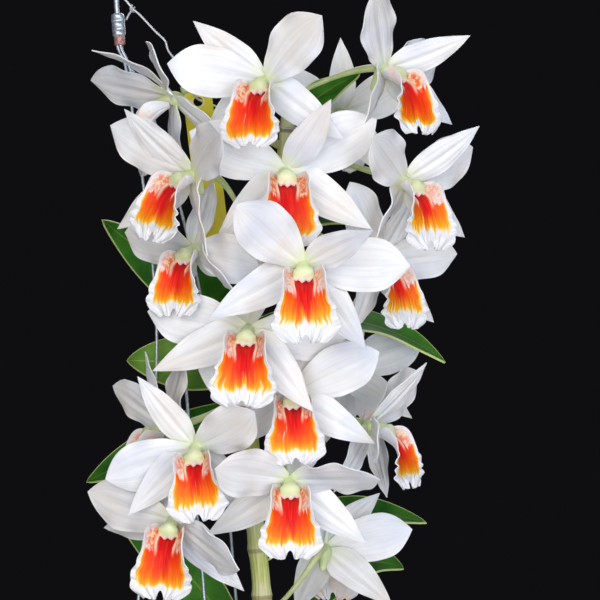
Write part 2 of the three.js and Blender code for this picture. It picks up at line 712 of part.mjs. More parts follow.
// The hook with the crimped sleeve that grips the three wires from above
function hookGeometry() {
  const middle = hookInnerRadius + hookWireRadius;
  const arc = hookAngles.map((angle) => [
    middle * Math.cos(degrees(angle)), 0, middle * Math.sin(degrees(angle)) - hookInnerRadius,
  ]);
  const shank = [[sleeveX, 0, sleeveTopZ - 2], [1.6, 0, -33], [2.2, 0, -25.5]];
  const curve = smoothCurve([...shank, ...arc]);
  const wire = barGeometry(curve, () => hookWireRadius, 6, 18, false);
  const profile = [
    [0, 0], [sleeveRadius, 0], [sleeveRadius, -sleeveLength], [sleeveCollarRadius, -sleeveLength],
    [sleeveCollarRadius, -sleeveLength - sleeveCollarLength],
    [sleeveBore, -sleeveLength - sleeveCollarLength],
    [sleeveBore, -sleeveSolid], [0, -sleeveSolid],
  ].reverse();
  const sleeve = new THREE.LatheGeometry(profile.map(([r, z]) => new THREE.Vector2(r, z)), 12);
  sleeve.rotateX(Math.PI / 2);
  sleeve.rotateY(-sleeveTilt);
  sleeve.translate(sleeveX, 0, sleeveTopZ);
  return fuse([wire, sleeve]);
}

function tieWireGeometry() {
  const curve = smoothCurve(tieWireLine);
  const wire = barGeometry(curve, () => tieWireRadius, 4, (tieWireLine.length - 1) * 2, false);
  return fuse([wire, barGeometry(smoothCurve(tieWireTail), () => tieWireRadius, 5, 3)]);
}

// The plain tag, with round corners and the hole that the tie wire passes through
function tagGeometry() {
  const [half, corner] = [tagWidth / 2, tagCornerRadius];
  const outline = new THREE.Shape();
  outline.absarc(half - corner, -corner, corner, 0, Math.PI / 2);
  outline.absarc(corner - half, -corner, corner, Math.PI / 2, Math.PI);
  outline.absarc(corner - half, corner - tagLength, corner, Math.PI, 1.5 * Math.PI);
  outline.absarc(half - corner, corner - tagLength, corner, 1.5 * Math.PI, 2 * Math.PI);
  const hole = new THREE.Path();
  hole.absarc(0, -tagHoleDrop, tagHoleRadius, 0, 2 * Math.PI, true);
  outline.holes.push(hole);
  const settings = { depth: tagThickness, bevelEnabled: false, curveSegments: 4 };
  const tag = new THREE.ExtrudeGeometry(outline, settings);
  tag.translate(0, 0, -tagThickness / 2);
  tag.rotateX(Math.PI / 2);
  tag.rotateY(-degrees(tagLean));
  return tag.translate(...tagTop);
}

const root = new THREE.Group();

function add(name, geometry, material, matrix) {
  const mesh = new THREE.Mesh(geometry, material);
  mesh.name = name;
  if (matrix) mesh.applyMatrix4(matrix);
  root.add(mesh);
}

const petalWhite = finish('#f3f4f7', 0.45);
const lipOrange = finish('#f2641c', 0.45);
const caneGreen = finish('#93a14a', 0.5);
const leafGreen = finish('#2c5c22', 0.4);

blooms.forEach((bloom) => {
  const matrix = bloomMatrix(bloom);
  add(`bloom_${bloom.name}_tepals`, tepalsGeometry(bloom), petalWhite, matrix);
  add(`bloom_${bloom.name}_lip`, lipGeometry(bloom.size), lipOrange, matrix);
});
add('flowering_cane', fuse([caneGeometry(flowerCaneLine), ...blooms.map(stalkGeometry)]), caneGreen);
backCaneLines.forEach((line, i) => add(`back_cane_${i + 1}`, caneGeometry(line), caneGreen));
leaves.forEach((leaf, i) => add(`leaf_${i + 1}`, leafGeometry(leaf), leafGreen));
add('pot', potGeometry(), finish('#b5623c', 0.85));
add('bark', barkGeometry(), finish('#5a3d28', 0.95));
hangerWires.forEach((wire, i) => {
  add(`hanger_wire_${i + 1}`, hangerWireGeometry(wire), finish('#8f97a3', 0.4, 0.9));
});
add('hanger_hook', hookGeometry(), finish('#8f97a3', 0.4, 0.9));
add('tie_wire', tieWireGeometry(), finish('#a9adb3', 0.45, 0.9));
add('tag', tagGeometry(), finish('#e6c71d', 0.5));

export default root;
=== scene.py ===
"""Looks of a hanging dendrobium orchid in a clay pot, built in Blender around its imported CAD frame.

Sizes are in millimetres in this file and become metres where a mesh is made. The origin is the point
inside the hanger's hook that rests on its rail, +Z is up and the blooms face -Y.
"""

from __future__ import annotations

import logging
import math
import random
from dataclasses import dataclass
from enum import Enum
from typing import Callable

import bmesh
import bpy
import numpy as np
from mathutils import Matrix, Vector

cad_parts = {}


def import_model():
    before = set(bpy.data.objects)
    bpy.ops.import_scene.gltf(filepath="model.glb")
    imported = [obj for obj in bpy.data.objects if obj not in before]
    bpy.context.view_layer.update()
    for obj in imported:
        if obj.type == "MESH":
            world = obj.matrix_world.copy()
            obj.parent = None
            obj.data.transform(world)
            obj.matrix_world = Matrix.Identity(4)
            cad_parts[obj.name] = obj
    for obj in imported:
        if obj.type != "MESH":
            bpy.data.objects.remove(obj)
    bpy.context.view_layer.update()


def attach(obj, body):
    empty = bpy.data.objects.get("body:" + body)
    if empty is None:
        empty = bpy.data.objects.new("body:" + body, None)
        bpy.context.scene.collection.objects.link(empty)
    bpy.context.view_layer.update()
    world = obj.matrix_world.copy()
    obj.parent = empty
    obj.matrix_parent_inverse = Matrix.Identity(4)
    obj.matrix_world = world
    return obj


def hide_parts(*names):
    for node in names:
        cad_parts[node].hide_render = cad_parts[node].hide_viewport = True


log = logging.getLogger("orchid")

MM = 0.001

Array = np.ndarray
Point = tuple[float, float, float]
Socket = bpy.types.NodeSocket


# Small helpers


def linear(hex_colour: str, alpha: float = 1.0) -> tuple[float, float, float, float]:
    """Turns an sRGB hex colour into the linear colour that a shader takes.

    Args:
        hex_colour: Six hex digits, with or without a leading #.
        alpha: Opacity to append.

    Returns:
        Linear red, green, blue and alpha.
    """
    digits = hex_colour.lstrip("#")
    channels = [int(digits[i : i + 2], 16) / 255 for i in (0, 2, 4)]
    red, green, blue = (c / 12.92 if c <= 0.04045 else ((c + 0.055) / 1.055) ** 2.4 for c in channels)
    return red, green, blue, alpha


def interpolate(pairs: tuple[tuple[float, float], ...], t: Array) -> Array:
    """Reads values at t on a line through (position, value) pairs."""
    return np.interp(t, [p[0] for p in pairs], [p[1] for p in pairs])


def smooth_step(low: float, high: float, x: Array) -> Array:
    """Rises smoothly from 0 at low to 1 at high."""
    t = np.clip((x - low) / (high - low), 0, 1)
    return t * t * (3 - 2 * t)


def unit(vectors: Array) -> Array:
    """Scales vectors to unit length along their last axis."""
    length = np.linalg.norm(vectors, axis=-1, keepdims=True)
    return vectors / np.maximum(length, 1e-9)


def turned(vectors: Array, axes: Array, angle: Array) -> Array:
    """Turns vectors about unit axes by angles in radians, row by row."""
    cos, sin = np.cos(angle)[..., None], np.sin(angle)[..., None]
    along = np.sum(vectors * axes, axis=-1, keepdims=True)
    return vectors * cos + np.cross(axes, vectors) * sin + axes * along * (1 - cos)


def smooth_line(points: list[Point], per_span: int = 8) -> Array:
    """Draws the centripetal curve that passes through the points, as the frame's own bars do.

    Args:
        points: The points that the curve passes through, in mm.
        per_span: How many steps each stretch between two points has.

    Returns:
        An array of points along the curve, in mm.
    """
    knots = [np.array(p, float) for p in points]
    knots = [2 * knots[0] - knots[1], *knots, 2 * knots[-1] - knots[-2]]
    line = [knots[1]]
    for p0, p1, p2, p3 in zip(knots, knots[1:], knots[2:], knots[3:]):
        pairs = ((p0, p1), (p1, p2), (p2, p3))
        gap0, gap1, gap2 = (max(np.linalg.norm(b - a) ** 0.5, 1e-4) for a, b in pairs)
        start = ((p1 - p0) / gap0 - (p2 - p0) / (gap0 + gap1) + (p2 - p1) / gap1) * gap1
        end = ((p2 - p1) / gap1 - (p3 - p1) / (gap1 + gap2) + (p3 - p2) / gap2) * gap1
        for step in range(1, per_span + 1):
            u = step / per_span
            line.append(
                p1
                + start * u
                + (-3 * p1 + 3 * p2 - 2 * start - end) * u**2
                + (2 * p1 - 2 * p2 + start + end) * u**3
            )
    return np.array(line)


def even_line(line: Array, count: int) -> Array:
    """Spaces count + 1 points evenly along a line."""
    reach = np.concatenate([[0], np.cumsum(np.linalg.norm(np.diff(line, axis=0), axis=1))])
    places = np.linspace(0, reach[-1], count + 1)
    return np.stack([np.interp(places, reach, line[:, k]) for k in range(3)], axis=1)


def point_at_height(points: list[Point], z: float) -> Array:
    """Finds the point at a height on a line that runs upwards."""
    for low, high in zip(points, points[1:]):
        if low[2] <= z <= high[2]:
            share = (z - low[2]) / (high[2] - low[2])
            return np.array(low) + share * (np.array(high) - np.array(low))
    raise ValueError(f"the line has no point at height {z}")


# Blender helpers


def deselect() -> None:
    """Leaves nothing selected, so that an operator acts on its own piece alone."""
    for obj in list(bpy.context.selected_objects):
        obj.select_set(False)


def take(obj: bpy.types.Object) -> bpy.types.Object:
    """Makes one object the only selected and active one."""
    deselect()
    obj.select_set(True)
    bpy.context.view_layer.objects.active = obj
    return obj


def apply_modifier(obj: bpy.types.Object, kind: str, **settings: object) -> None:
    """Adds a modifier with its settings and applies it.

    Args:
        obj: The piece to change.
        kind: Blender's modifier type.
        settings: Values for the modifier's own properties.
    """
    take(obj)
    modifier = obj.modifiers.new(kind.title(), kind)
    for name, value in settings.items():
        setattr(modifier, name, value)
    bpy.ops.object.modifier_apply(modifier=modifier.name)


def coordinates(obj: bpy.types.Object) -> Array:
    """Reads the places of an object's vertices, one row for each."""
    flat = np.zeros(len(obj.data.vertices) * 3)
    obj.data.vertices.foreach_get("co", flat)
    return flat.reshape(-1, 3)


def thicken(obj: bpy.types.Object, thickness: float) -> None:
    """Gives an open sheet a thickness in mm, half of it on each side, and shades it."""
    apply_modifier(obj, "SOLIDIFY", thickness=thickness * MM, offset=0.0)
    shade(obj, 60)


def grid_sheet(
    name: str, columns: int, rows: int, shape: Callable[[Array, Array], Array]
) -> bpy.types.Object:
    """Adds a grid and bends it into a sheet.

    Args:
        name: The object's name.
        columns: Faces across the sheet.
        rows: Faces along the sheet.
        shape: Gives points in mm for arrays of s, -1 to 1 across, and t, 0 to 1 along.

    Returns:
        The sheet, with a UV map that has s across and t along.
    """
    deselect()
    bpy.ops.mesh.primitive_grid_add(x_subdivisions=columns, y_subdivisions=rows, size=2)
    obj = bpy.context.object
    obj.name = name
    flat = coordinates(obj)
    points = shape(flat[:, 0], (flat[:, 1] + 1) / 2) * MM
    obj.data.vertices.foreach_set("co", points.ravel())
    obj.data.update()
    return obj


def store(obj: bpy.types.Object, name: str, values: Array) -> None:
    """Keeps one number for each vertex, for a material to read."""
    attribute = obj.data.attributes.new(name, "FLOAT", "POINT")
    attribute.data.foreach_set("value", np.asarray(values, float))


def join(objects: list[bpy.types.Object], name: str) -> bpy.types.Object:
    """Joins objects into the first one and names it."""
    deselect()
    for obj in objects:
        obj.select_set(True)
    bpy.context.view_layer.objects.active = objects[0]
    if len(objects) > 1:
        bpy.ops.object.join()
    objects[0].name = name
    return objects[0]


def merge_doubles(obj: bpy.types.Object, distance: float = 0.01) -> None:
    """Merges vertices that lie within a distance in mm, and points the faces outwards."""
    take(obj)
    bpy.ops.object.mode_set(mode="EDIT")
    bpy.ops.mesh.select_all(action="SELECT")
    bpy.ops.mesh.remove_doubles(threshold=distance * MM)
    bpy.ops.mesh.normals_make_consistent(inside=False)
    bpy.ops.object.mode_set(mode="OBJECT")


def round_bar(
    name: str, line: Array, radii: Array | float, material: bpy.types.Material, sides: int = 12
) -> bpy.types.Object:
    """Makes a closed round bar along a line.

    Args:
        name: The object's name.
        line: Points along the bar's centre, in mm.
        radii: The bar's radius in mm, one value or one for each point.
        material: Its finish.
        sides: How many sides its section has.

    Returns:
        The bar as a mesh at the origin, with a UV map: around the bar and along it.
    """
    count = len(line)
    radii = np.broadcast_to(radii, count)
    heading = unit(np.gradient(line, axis=0))
    across = np.zeros_like(line)
    current = np.array([0.3, 1.0, 0.1])
    for i in range(count):
        current = current - heading[i] * current.dot(heading[i])
        current = current / np.linalg.norm(current)
        across[i] = current
    other = np.cross(heading, across)
    angles = np.linspace(0, 2 * math.pi, sides, endpoint=False)
    cos, sin = np.cos(angles)[None, :, None], np.sin(angles)[None, :, None]
    ring = across[:, None] * cos + other[:, None] * sin
    points = line[:, None] + ring * radii[:, None, None]
    deselect()
    bpy.ops.mesh.primitive_circle_add(vertices=sides, radius=1, fill_type="NGON")
    obj = bpy.context.object
    obj.name = name
    mesh = bmesh.new()
    verts = [[mesh.verts.new(p * MM) for p in row] for row in points]
    layer = mesh.loops.layers.uv.new("UVMap")
    for i in range(count - 1):
        for j in range(sides):
            k = (j + 1) % sides
            face = mesh.faces.new((verts[i][j], verts[i][k], verts[i + 1][k], verts[i + 1][j]))
            corners = ((j, i), (j + 1, i), (j + 1, i + 1), (j, i + 1))
            for loop, (u, v) in zip(face.loops, corners):
                loop[layer].uv = (u / sides, v / (count - 1))
    mesh.faces.new(list(reversed(verts[0])))
    mesh.faces.new(verts[-1])
    bmesh.ops.recalc_face_normals(mesh, faces=mesh.faces)
    mesh.to_mesh(obj.data)
    mesh.free()
    obj.data.materials.append(material)
    shade(obj)
    return obj


def shade(obj: bpy.types.Object, angle: float = 50) -> None:
    """Shades a piece smooth, but for edges sharper than an angle in degrees."""
    take(obj)
    bpy.ops.object.shade_smooth_by_angle(angle=math.radians(angle))


def settle(obj: bpy.types.Object, slot: str, *nodes: str) -> None:
    """Puts a finished piece on the frame.

    Args:
        obj: The piece, with its place in its mesh.
        slot: Names a material slot of the record; it is not used.
        nodes: The frame's nodes that it stands for.
    """
    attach(obj, "root")
    if nodes:
        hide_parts(*nodes)
    log.info("%s: %d faces", obj.name, len(obj.data.polygons))


# Finishes


class Graph:
    """A material's shader tree while it is drawn.

    Attributes:
        material: The Blender material.
        tree: Its node tree.
        shader: Its Principled shader.
        place: The object coordinates' socket.
    """

    def __init__(self, name: str, roughness: float, colour: str = "#ffffff", **sockets: object) -> None:
        """Starts a material.

        Args:
            name: What the real material is.
            roughness: The shader's roughness.
            colour: Base colour for the viewport and for a shader with no pattern, in sRGB hex.
            sockets: Further values for the shader's own sockets, with _ for each space.
        """
        self.material = bpy.data.materials.new(name)
        self.material.use_nodes = True
        self.material.diffuse_color = linear(colour)
        self.tree = self.material.node_tree
        self.shader = self.tree.nodes["Principled BSDF"]
        sockets = {"Base_Color": linear(colour), "Roughness": roughness, **sockets}
        for socket, value in sockets.items():
            self.shader.inputs[socket.replace("_", " ")].default_value = value
        self.place = self.add("TexCoord", out="Object")

    def add(self, kind: str, inputs: dict | None = None, out: str | int = 0, **settings: object) -> Socket:
        """Adds a node.

        Args:
            kind: The node's type, without its ShaderNode prefix.
            inputs: For each input's name or place, a value or the socket that feeds it.
            out: The name or place of the output to give back.
            settings: Values for the node's own properties.

        Returns:
            The chosen output socket.
        """
        node = self.tree.nodes.new(f"ShaderNode{kind}")
        for name, value in settings.items():
            setattr(node, name, value)
        for key, value in (inputs or {}).items():
            if isinstance(value, Socket):
                self.tree.links.new(value, node.inputs[key])
            else:
                node.inputs[key].default_value = value
        return node.outputs[out]

    def ramp(self, factor: Socket, *stops: tuple[float, str]) -> Socket:
        """Adds a colour ramp and gives its colour.

        Args:
            factor: What the ramp reads.
            stops: Places and sRGB hex colours, in order.

        Returns:
            The ramp's colour socket.
        """
        colour = self.add("ValToRGB", {0: factor})
        elements = colour.node.color_ramp.elements
        while len(elements) < len(stops):
            elements.new(1.0)
        for element, (place, value) in zip(elements, stops):
            element.position = place
            element.color = linear(value)
        return colour

    def math(self, operation: str, *values: float | Socket) -> Socket:
        """Works out one operation on its values."""
        return self.add("Math", dict(enumerate(values)), operation=operation)

    def waves(self, value: Socket, rate: float) -> Socket:
        """Gives the sine of a value times a rate."""
        return self.math("SINE", self.math("MULTIPLY", value, rate))

    def scaled(self, vector: Socket, *factors: float) -> Socket:
        """Stretches a vector by a factor for each axis."""
        return self.add("VectorMath", {0: vector, 1: factors}, operation="MULTIPLY")

    def between(
        self, value: Socket, low: float, high: float, first: float = 0.0, last: float = 1.0
    ) -> Socket:
        """Gives first where the value is low, last where it is high, and what lies between."""
        return self.add("MapRange", {0: value, 1: low, 2: high, 3: first, 4: last})

    def noise(self, vector: Socket, scale: float, detail: float, roughness: float = 0.5) -> Socket:
        """Adds cloudy noise and gives its strength."""
        inputs = {"Vector": vector, "Scale": scale, "Detail": detail, "Roughness": roughness}
        return self.add("TexNoise", inputs)

    def mix(self, factor: Socket, first: Socket | str, second: Socket | str) -> Socket:
        """Mixes two colours, each a socket or an sRGB hex colour."""
        first, second = (linear(c) if isinstance(c, str) else c for c in (first, second))
        return self.add("Mix", {0: factor, 6: first, 7: second}, 2, data_type="RGBA")

    def attribute(self, name: str) -> Socket:
        """Reads a number that is kept on the vertices."""
        return self.add("Attribute", attribute_name=name, out="Fac")

    def map_sockets(self) -> tuple[Socket, Socket]:
        """Reads the UV map and gives its places across and along the piece."""
        across = self.add("SeparateXYZ", {0: self.add("UVMap", uv_map="UVMap")})
        return across, across.node.outputs[1]

    def feed(self, socket: str, source: Socket) -> None:
        """Links a socket of the shader."""
        self.tree.links.new(source, self.shader.inputs[socket])

    def relief(self, height: Socket, depth: float, strength: float = 1.0) -> None:
        """Turns a height into the shader's normal, with a depth in mm."""
        inputs = {"Height": height, "Distance": depth * MM, "Strength": strength}
        self.feed("Normal", self.add("Bump", inputs))


@dataclass(frozen=True)
class WaxyTepal:
    """Living orchid tepal: thin waxy tissue, grown flat between long veins.

    It glows a little where light comes through, so it is soft white with cool shadows.
    """

    name: str = "waxy_orchid_tepal"
    white: str = "#f7f8fb"
    cool: str = "#e6ebf7"
    warm: str = "#f3eee9"
    green: str = "#e3ebbf"
    vein: str = "#d9dae2"
    rib: str = "#dcdacb"

    def build(self) -> bpy.types.Material:
        """Draws the finish and gives the material."""
        g = Graph(
            self.name, 0.42, self.white, IOR=1.4,
            Subsurface_Weight=0.15, Subsurface_Scale=0.0015, Subsurface_Radius=(1.0, 0.9, 0.8),
        )  # fmt: skip
        across, along = g.map_sockets()
        # Veins run the length of the tepal and close up with it at both ends
        spread = {0: g.math("MULTIPLY", across, 26.0), 1: g.math("MULTIPLY", along, 1.4)}
        apart = g.scaled(g.place, 9.0, 9.0, 9.0)
        veins = g.add("VectorMath", {0: g.add("CombineXYZ", spread), 1: apart}, operation="ADD")
        vein = g.noise(veins, 1.0, 3.0, 0.55)
        cloud = g.noise(g.place, 38.0, 3.0)
        colour = g.ramp(cloud, (0.34, self.cool), (0.5, self.white), (0.68, self.warm))
        colour = g.mix(g.between(along, 0.0, 0.22, 0.8, 0.0), colour, self.green)
        colour = g.mix(g.between(vein, 0.48, 0.72, 0.0, 0.42), colour, self.vein)
        centre = g.math("ABSOLUTE", g.math("SUBTRACT", across, 0.5))
        rib = g.between(centre, 0.004, 0.035, 0.5, 0.0)
        rib = g.math("MULTIPLY", rib, g.between(along, 0.3, 0.85, 1.0, 0.0))
        g.feed("Base Color", g.mix(rib, colour, self.rib))
        # Cells show as a fine sparkle in the waxy skin
        cells = g.add("TexVoronoi", {"Vector": g.place, "Scale": 1400.0})
        g.relief(g.math("MULTIPLY_ADD", cells, 0.1, vein), -0.18, 0.7)
        return g.material


@dataclass(frozen=True)
class FrilledLip:
    """Orchid lip: velvety tissue whose pigment fades along its veins to a white frilled rim.

    It is deep red in the throat between two cream keels, then orange with a yellow fringe. The side
    lobes are netted with orange inside, and the whole outer face is a pale peach.
    """

    name: str = "frilled_orchid_lip"
    white: str = "#eff0f5"
    peach: str = "#fddcbc"
    keel: str = "#fdeed2"
    netting: str = "#f0681c"
    red: str = "#e8121a"
    throat: str = "#a8080c"

    def build(self) -> bpy.types.Material:
        """Draws the finish and gives the material."""
        g = Graph(
            self.name, 0.55, "#f05a1e", Specular_IOR_Level=0.2,
            Subsurface_Weight=0.04, Subsurface_Scale=0.001, Subsurface_Radius=(1.0, 0.5, 0.3),
        )  # fmt: skip
        across, along = g.map_sockets()
        kept = ("rim", "core", "ear", "keel", "outer", "tone")
        rim, core, ear, keel, outer, tone = (g.attribute(name) for name in kept)
        # Streaks follow the veins, which fan out with the lip
        spans = ((across, 24.0), (along, 2.2), (tone, 17.0))
        fan = {axis: g.math("MULTIPLY", *span) for axis, span in enumerate(spans)}
        streak = g.noise(g.add("CombineXYZ", fan), 1.0, 4.0, 0.6)
        centred = g.math("SUBTRACT", streak, 0.5)
        level = g.between(g.math("MULTIPLY_ADD", centred, 1.7, rim), 0.0, 4.0)
        colour = g.ramp(
            level,
            (0.25, self.white),
            (0.29, "#ffe38c"),
            (0.34, "#fbb01c"),
            (0.48, "#fb7a0e"),
            (0.7, "#f9500c"),
            (1.0, "#f4360c"),
        )
        deep = g.math("MULTIPLY_ADD", centred, 1.5, core)
        red = g.between(g.math("MULTIPLY_ADD", tone, 0.2, deep), -0.1, 0.4)
        reds = g.ramp(streak, (0.32, "#c90c12"), (0.5, self.red), (0.7, "#f9401a"))
        colour = g.mix(red, colour, reds)
        throat = g.math("MULTIPLY", g.between(along, 0.08, 0.42, 1.0, 0.0), red)
        colour = g.mix(throat, colour, self.throat)
        # Inside the side lobes, the pigment breaks up into a net
        netted = g.between(g.noise(g.place, 520.0, 3.0, 0.7), 0.42, 0.56, 0.0, 0.95)
        lobes = g.mix(netted, self.peach, self.netting)
        lobes = g.mix(g.between(rim, 1.0, 5.0), self.white, lobes)
        torn = g.between(g.math("MULTIPLY_ADD", centred, -2.4, ear), 0.4, 0.65)
        colour = g.mix(torn, colour, lobes)
        colour = g.mix(keel, colour, self.keel)
        back = g.ramp(g.noise(g.place, 120.0, 2.0), (0.42, self.white), (0.7, "#fbe2d3"))
        g.feed("Base Color", g.mix(outer, colour, back))
        g.relief(streak, 0.4, 0.8)
        return g.material


@dataclass(frozen=True)
class Tissue:
    """Smooth living stem or column tissue, clouded in two greens.

    Where the attribute edge is 1, it pales as a thin edge does.
    """

    name: str
    light: str
    dark: str
    roughness: float = 0.42
    cloud_mm: float = 6.0
    pale: str = "#fbfcf4"

    def build(self) -> bpy.types.Material:
        """Draws the finish and gives the material."""
        g = Graph(self.name, self.roughness, self.light, Subsurface_Weight=0.15, Subsurface_Scale=0.003)
        cloud = g.noise(g.place, 1 / (self.cloud_mm * MM), 3.0)
        clouded = g.ramp(cloud, (0.35, self.dark), (0.65, self.light))
        g.feed("Base Color", g.mix(g.attribute("edge"), clouded, self.pale))
        g.relief(cloud, 0.1)
        return g.material


@dataclass(frozen=True)
class SheathedCane:
    """Dendrobium cane: ribbed yellow-green stem in a papery sheath that dries pale and fibrous.

    Each node shows as a thin brown ring.
    """

    name: str = "sheathed_cane"
    green: str = "#b2bd5c"
    yellow: str = "#d6db90"
    paper: str = "#dcd9ae"
    ring: str = "#85723c"

    def build(self) -> bpy.types.Material:
        """Draws the finish and gives the material."""
        g = Graph(self.name, 0.48, self.green, Subsurface_Weight=0.08, Subsurface_Scale=0.003)
        across, _ = g.map_sockets()
        fibre = g.noise(g.scaled(g.place, 520.0, 520.0, 30.0), 1.0, 4.0)
        base = g.ramp(fibre, (0.35, self.green), (0.62, self.yellow))
        dry = g.between(g.noise(g.place, 38.0, 3.0), 0.48, 0.6, 0.0, 0.8)
        ring = g.between(g.attribute("node_mm"), 0.5, 1.3, 0.85, 0.0)
        g.feed("Base Color", g.mix(ring, g.mix(dry, base, self.paper), self.ring))
        g.relief(g.math("MULTIPLY_ADD", g.waves(across, 100.0), 0.3, fibre), 0.25)
        return g.material


@dataclass(frozen=True)
class LeatheryLeaf:
    """Orchid leaf: thick leathery blade with close parallel veins and a pale thin margin."""

    name: str = "leathery_leaf"
    dark: str = "#225a18"
    light: str = "#4a8a28"
    rib: str = "#7fa046"
    margin: str = "#cfdc93"

    def build(self) -> bpy.types.Material:
        """Draws the finish and gives the material."""
        g = Graph(self.name, 0.55, self.dark, Specular_IOR_Level=0.14)
        across, _ = g.map_sockets()
        cloud = g.noise(g.place, 55.0, 4.0)
        base = g.ramp(cloud, (0.35, self.dark), (0.7, self.light))
        centre = g.math("ABSOLUTE", g.math("SUBTRACT", across, 0.5))
        base = g.mix(g.between(centre, 0.008, 0.03, 0.7, 0.0), base, self.rib)
        edge = g.between(g.attribute("rim"), 0.2, 0.55, 0.9, 0.0)
        g.feed("Base Color", g.mix(edge, base, self.margin))
        g.relief(g.math("MULTIPLY_ADD", g.waves(across, 190.0), 0.35, cloud), 0.14)
        return g.material


@dataclass(frozen=True)
class FiredClay:
    """Unglazed thrown terracotta: dry, open grain with lime bloom."""

    name: str = "fired_clay"
    clay: str = "#b4653f"
    dark: str = "#8f4a2c"
    lime: str = "#d8b79c"

    def build(self) -> bpy.types.Material:
        """Draws the finish and gives the material."""
        g = Graph(self.name, 0.88, self.clay)
        grain = g.noise(g.place, 900.0, 2.0)
        base = g.ramp(g.noise(g.place, 22.0, 6.0), (0.35, self.dark), (0.6, self.clay))
        lime = g.between(g.noise(g.place, 48.0, 5.0, 0.65), 0.52, 0.7, 0.0, 0.6)
        speck = g.between(grain, 0.6, 0.75, 0.0, 0.35)
        g.feed("Base Color", g.mix(speck, g.mix(lime, base, self.lime), self.dark))
        # Throwing rings are about 3 mm apart
        rings = g.waves(g.add("SeparateXYZ", {0: g.place}, 2), 2100.0)
        g.relief(g.math("MULTIPLY_ADD", rings, 0.25, grain), 0.3)
        return g.material


@dataclass(frozen=True)
class PineBark:
    """Graded pine bark: flaky plates, red-brown inside and grey where they have dried."""

    name: str = "pine_bark"

    def build(self) -> bpy.types.Material:
        """Draws the finish and gives the material."""
        g = Graph(self.name, 0.92, "#6b432a")
        cloud = g.noise(g.place, 110.0, 6.0, 0.7)
        flakes = g.add("TexVoronoi", {"Vector": g.place, "Scale": 420.0})
        colour = g.ramp(cloud, (0.3, "#2e1c12"), (0.45, "#6b3f25"), (0.6, "#8f6142"), (0.75, "#a08872"))
        g.feed("Base Color", colour)
        g.relief(g.math("MULTIPLY_ADD", flakes, 0.8, cloud), 0.8)
        return g.material


@dataclass(frozen=True)
class DrawnMetal:
    """Drawn or crimped metal with a dull, handled skin."""

    name: str
    light: str
    dark: str
    roughness: float
    metallic: float
    spangle_mm: float = 1.2

    def build(self) -> bpy.types.Material:
        """Draws the finish and gives the material."""
        g = Graph(self.name, self.roughness, self.light, Metallic=self.metallic)
        spangle = g.noise(g.place, 1 / (self.spangle_mm * MM), 3.0)
        g.feed("Base Color", g.ramp(spangle, (0.35, self.dark), (0.65, self.light)))
        rough = g.between(spangle, 0.0, 1.0, self.roughness - 0.12, self.roughness + 0.15)
        g.feed("Roughness", rough)
        g.relief(spangle, 0.03)
        return g.material


@dataclass(frozen=True)
class MouldedTag:
    """Moulded polystyrene plant tag: semi-gloss yellow, dulled and scuffed by weather."""

    name: str = "moulded_tag"
    yellow: str = "#efe02c"
    faded: str = "#e2cf34"

    def build(self) -> bpy.types.Material:
        """Draws the finish and gives the material."""
        g = Graph(self.name, 0.4, self.yellow, Subsurface_Weight=0.1, Subsurface_Scale=0.002)
        cloud = g.noise(g.place, 70.0, 4.0)
        g.feed("Base Color", g.ramp(cloud, (0.35, self.faded), (0.6, self.yellow)))
        scuff = g.noise(g.place, 600.0, 2.0)
        g.feed("Roughness", g.between(scuff, 0.0, 1.0, 0.3, 0.55))
        g.relief(scuff, 0.02)
        return g.material


# Blooms


class TepalKind(Enum):
    """Which of a bloom's three kinds of tepal a blade is."""

    DORSAL = "dorsal"
    PETAL = "petal"
    LATERAL = "lateral"


@dataclass(frozen=True)
class TepalShape:
    """The outline and set of one kind of tepal, in mm and degrees.

    Attributes:
        length: From the heart to the tip.
        half_width: Half of its greatest width.
        base_width: Width at the foot, as a share of the greatest.
        widest: Where along it the greatest width comes.
        taper: A higher one makes a blunter tip.
        cup: How far the edges bend back, as a share of the half width.
        curl: How far the tip bends forward over the whole length.
        lift: How far forward its foot is set.
        ripple: How far its edges wave.
    """

    length: float
    half_width: float
    base_width: float
    widest: float
    taper: float
    cup: float
    curl: float
    lift: float
    ripple: float


TEPALS = {
    TepalKind.DORSAL: TepalShape(43, 7.5, 0.3, 0.35, 1.1, -0.1, -20, -0.8, 0.5),
    TepalKind.PETAL: TepalShape(45, 12, 0.25, 0.55, 1.5, -0.06, -12, 0.4, 1.1),
    TepalKind.LATERAL: TepalShape(45, 9, 0.3, 0.25, 1.1, -0.1, -18, -0.8, 0.6),
}

Aim = tuple[float, ...]


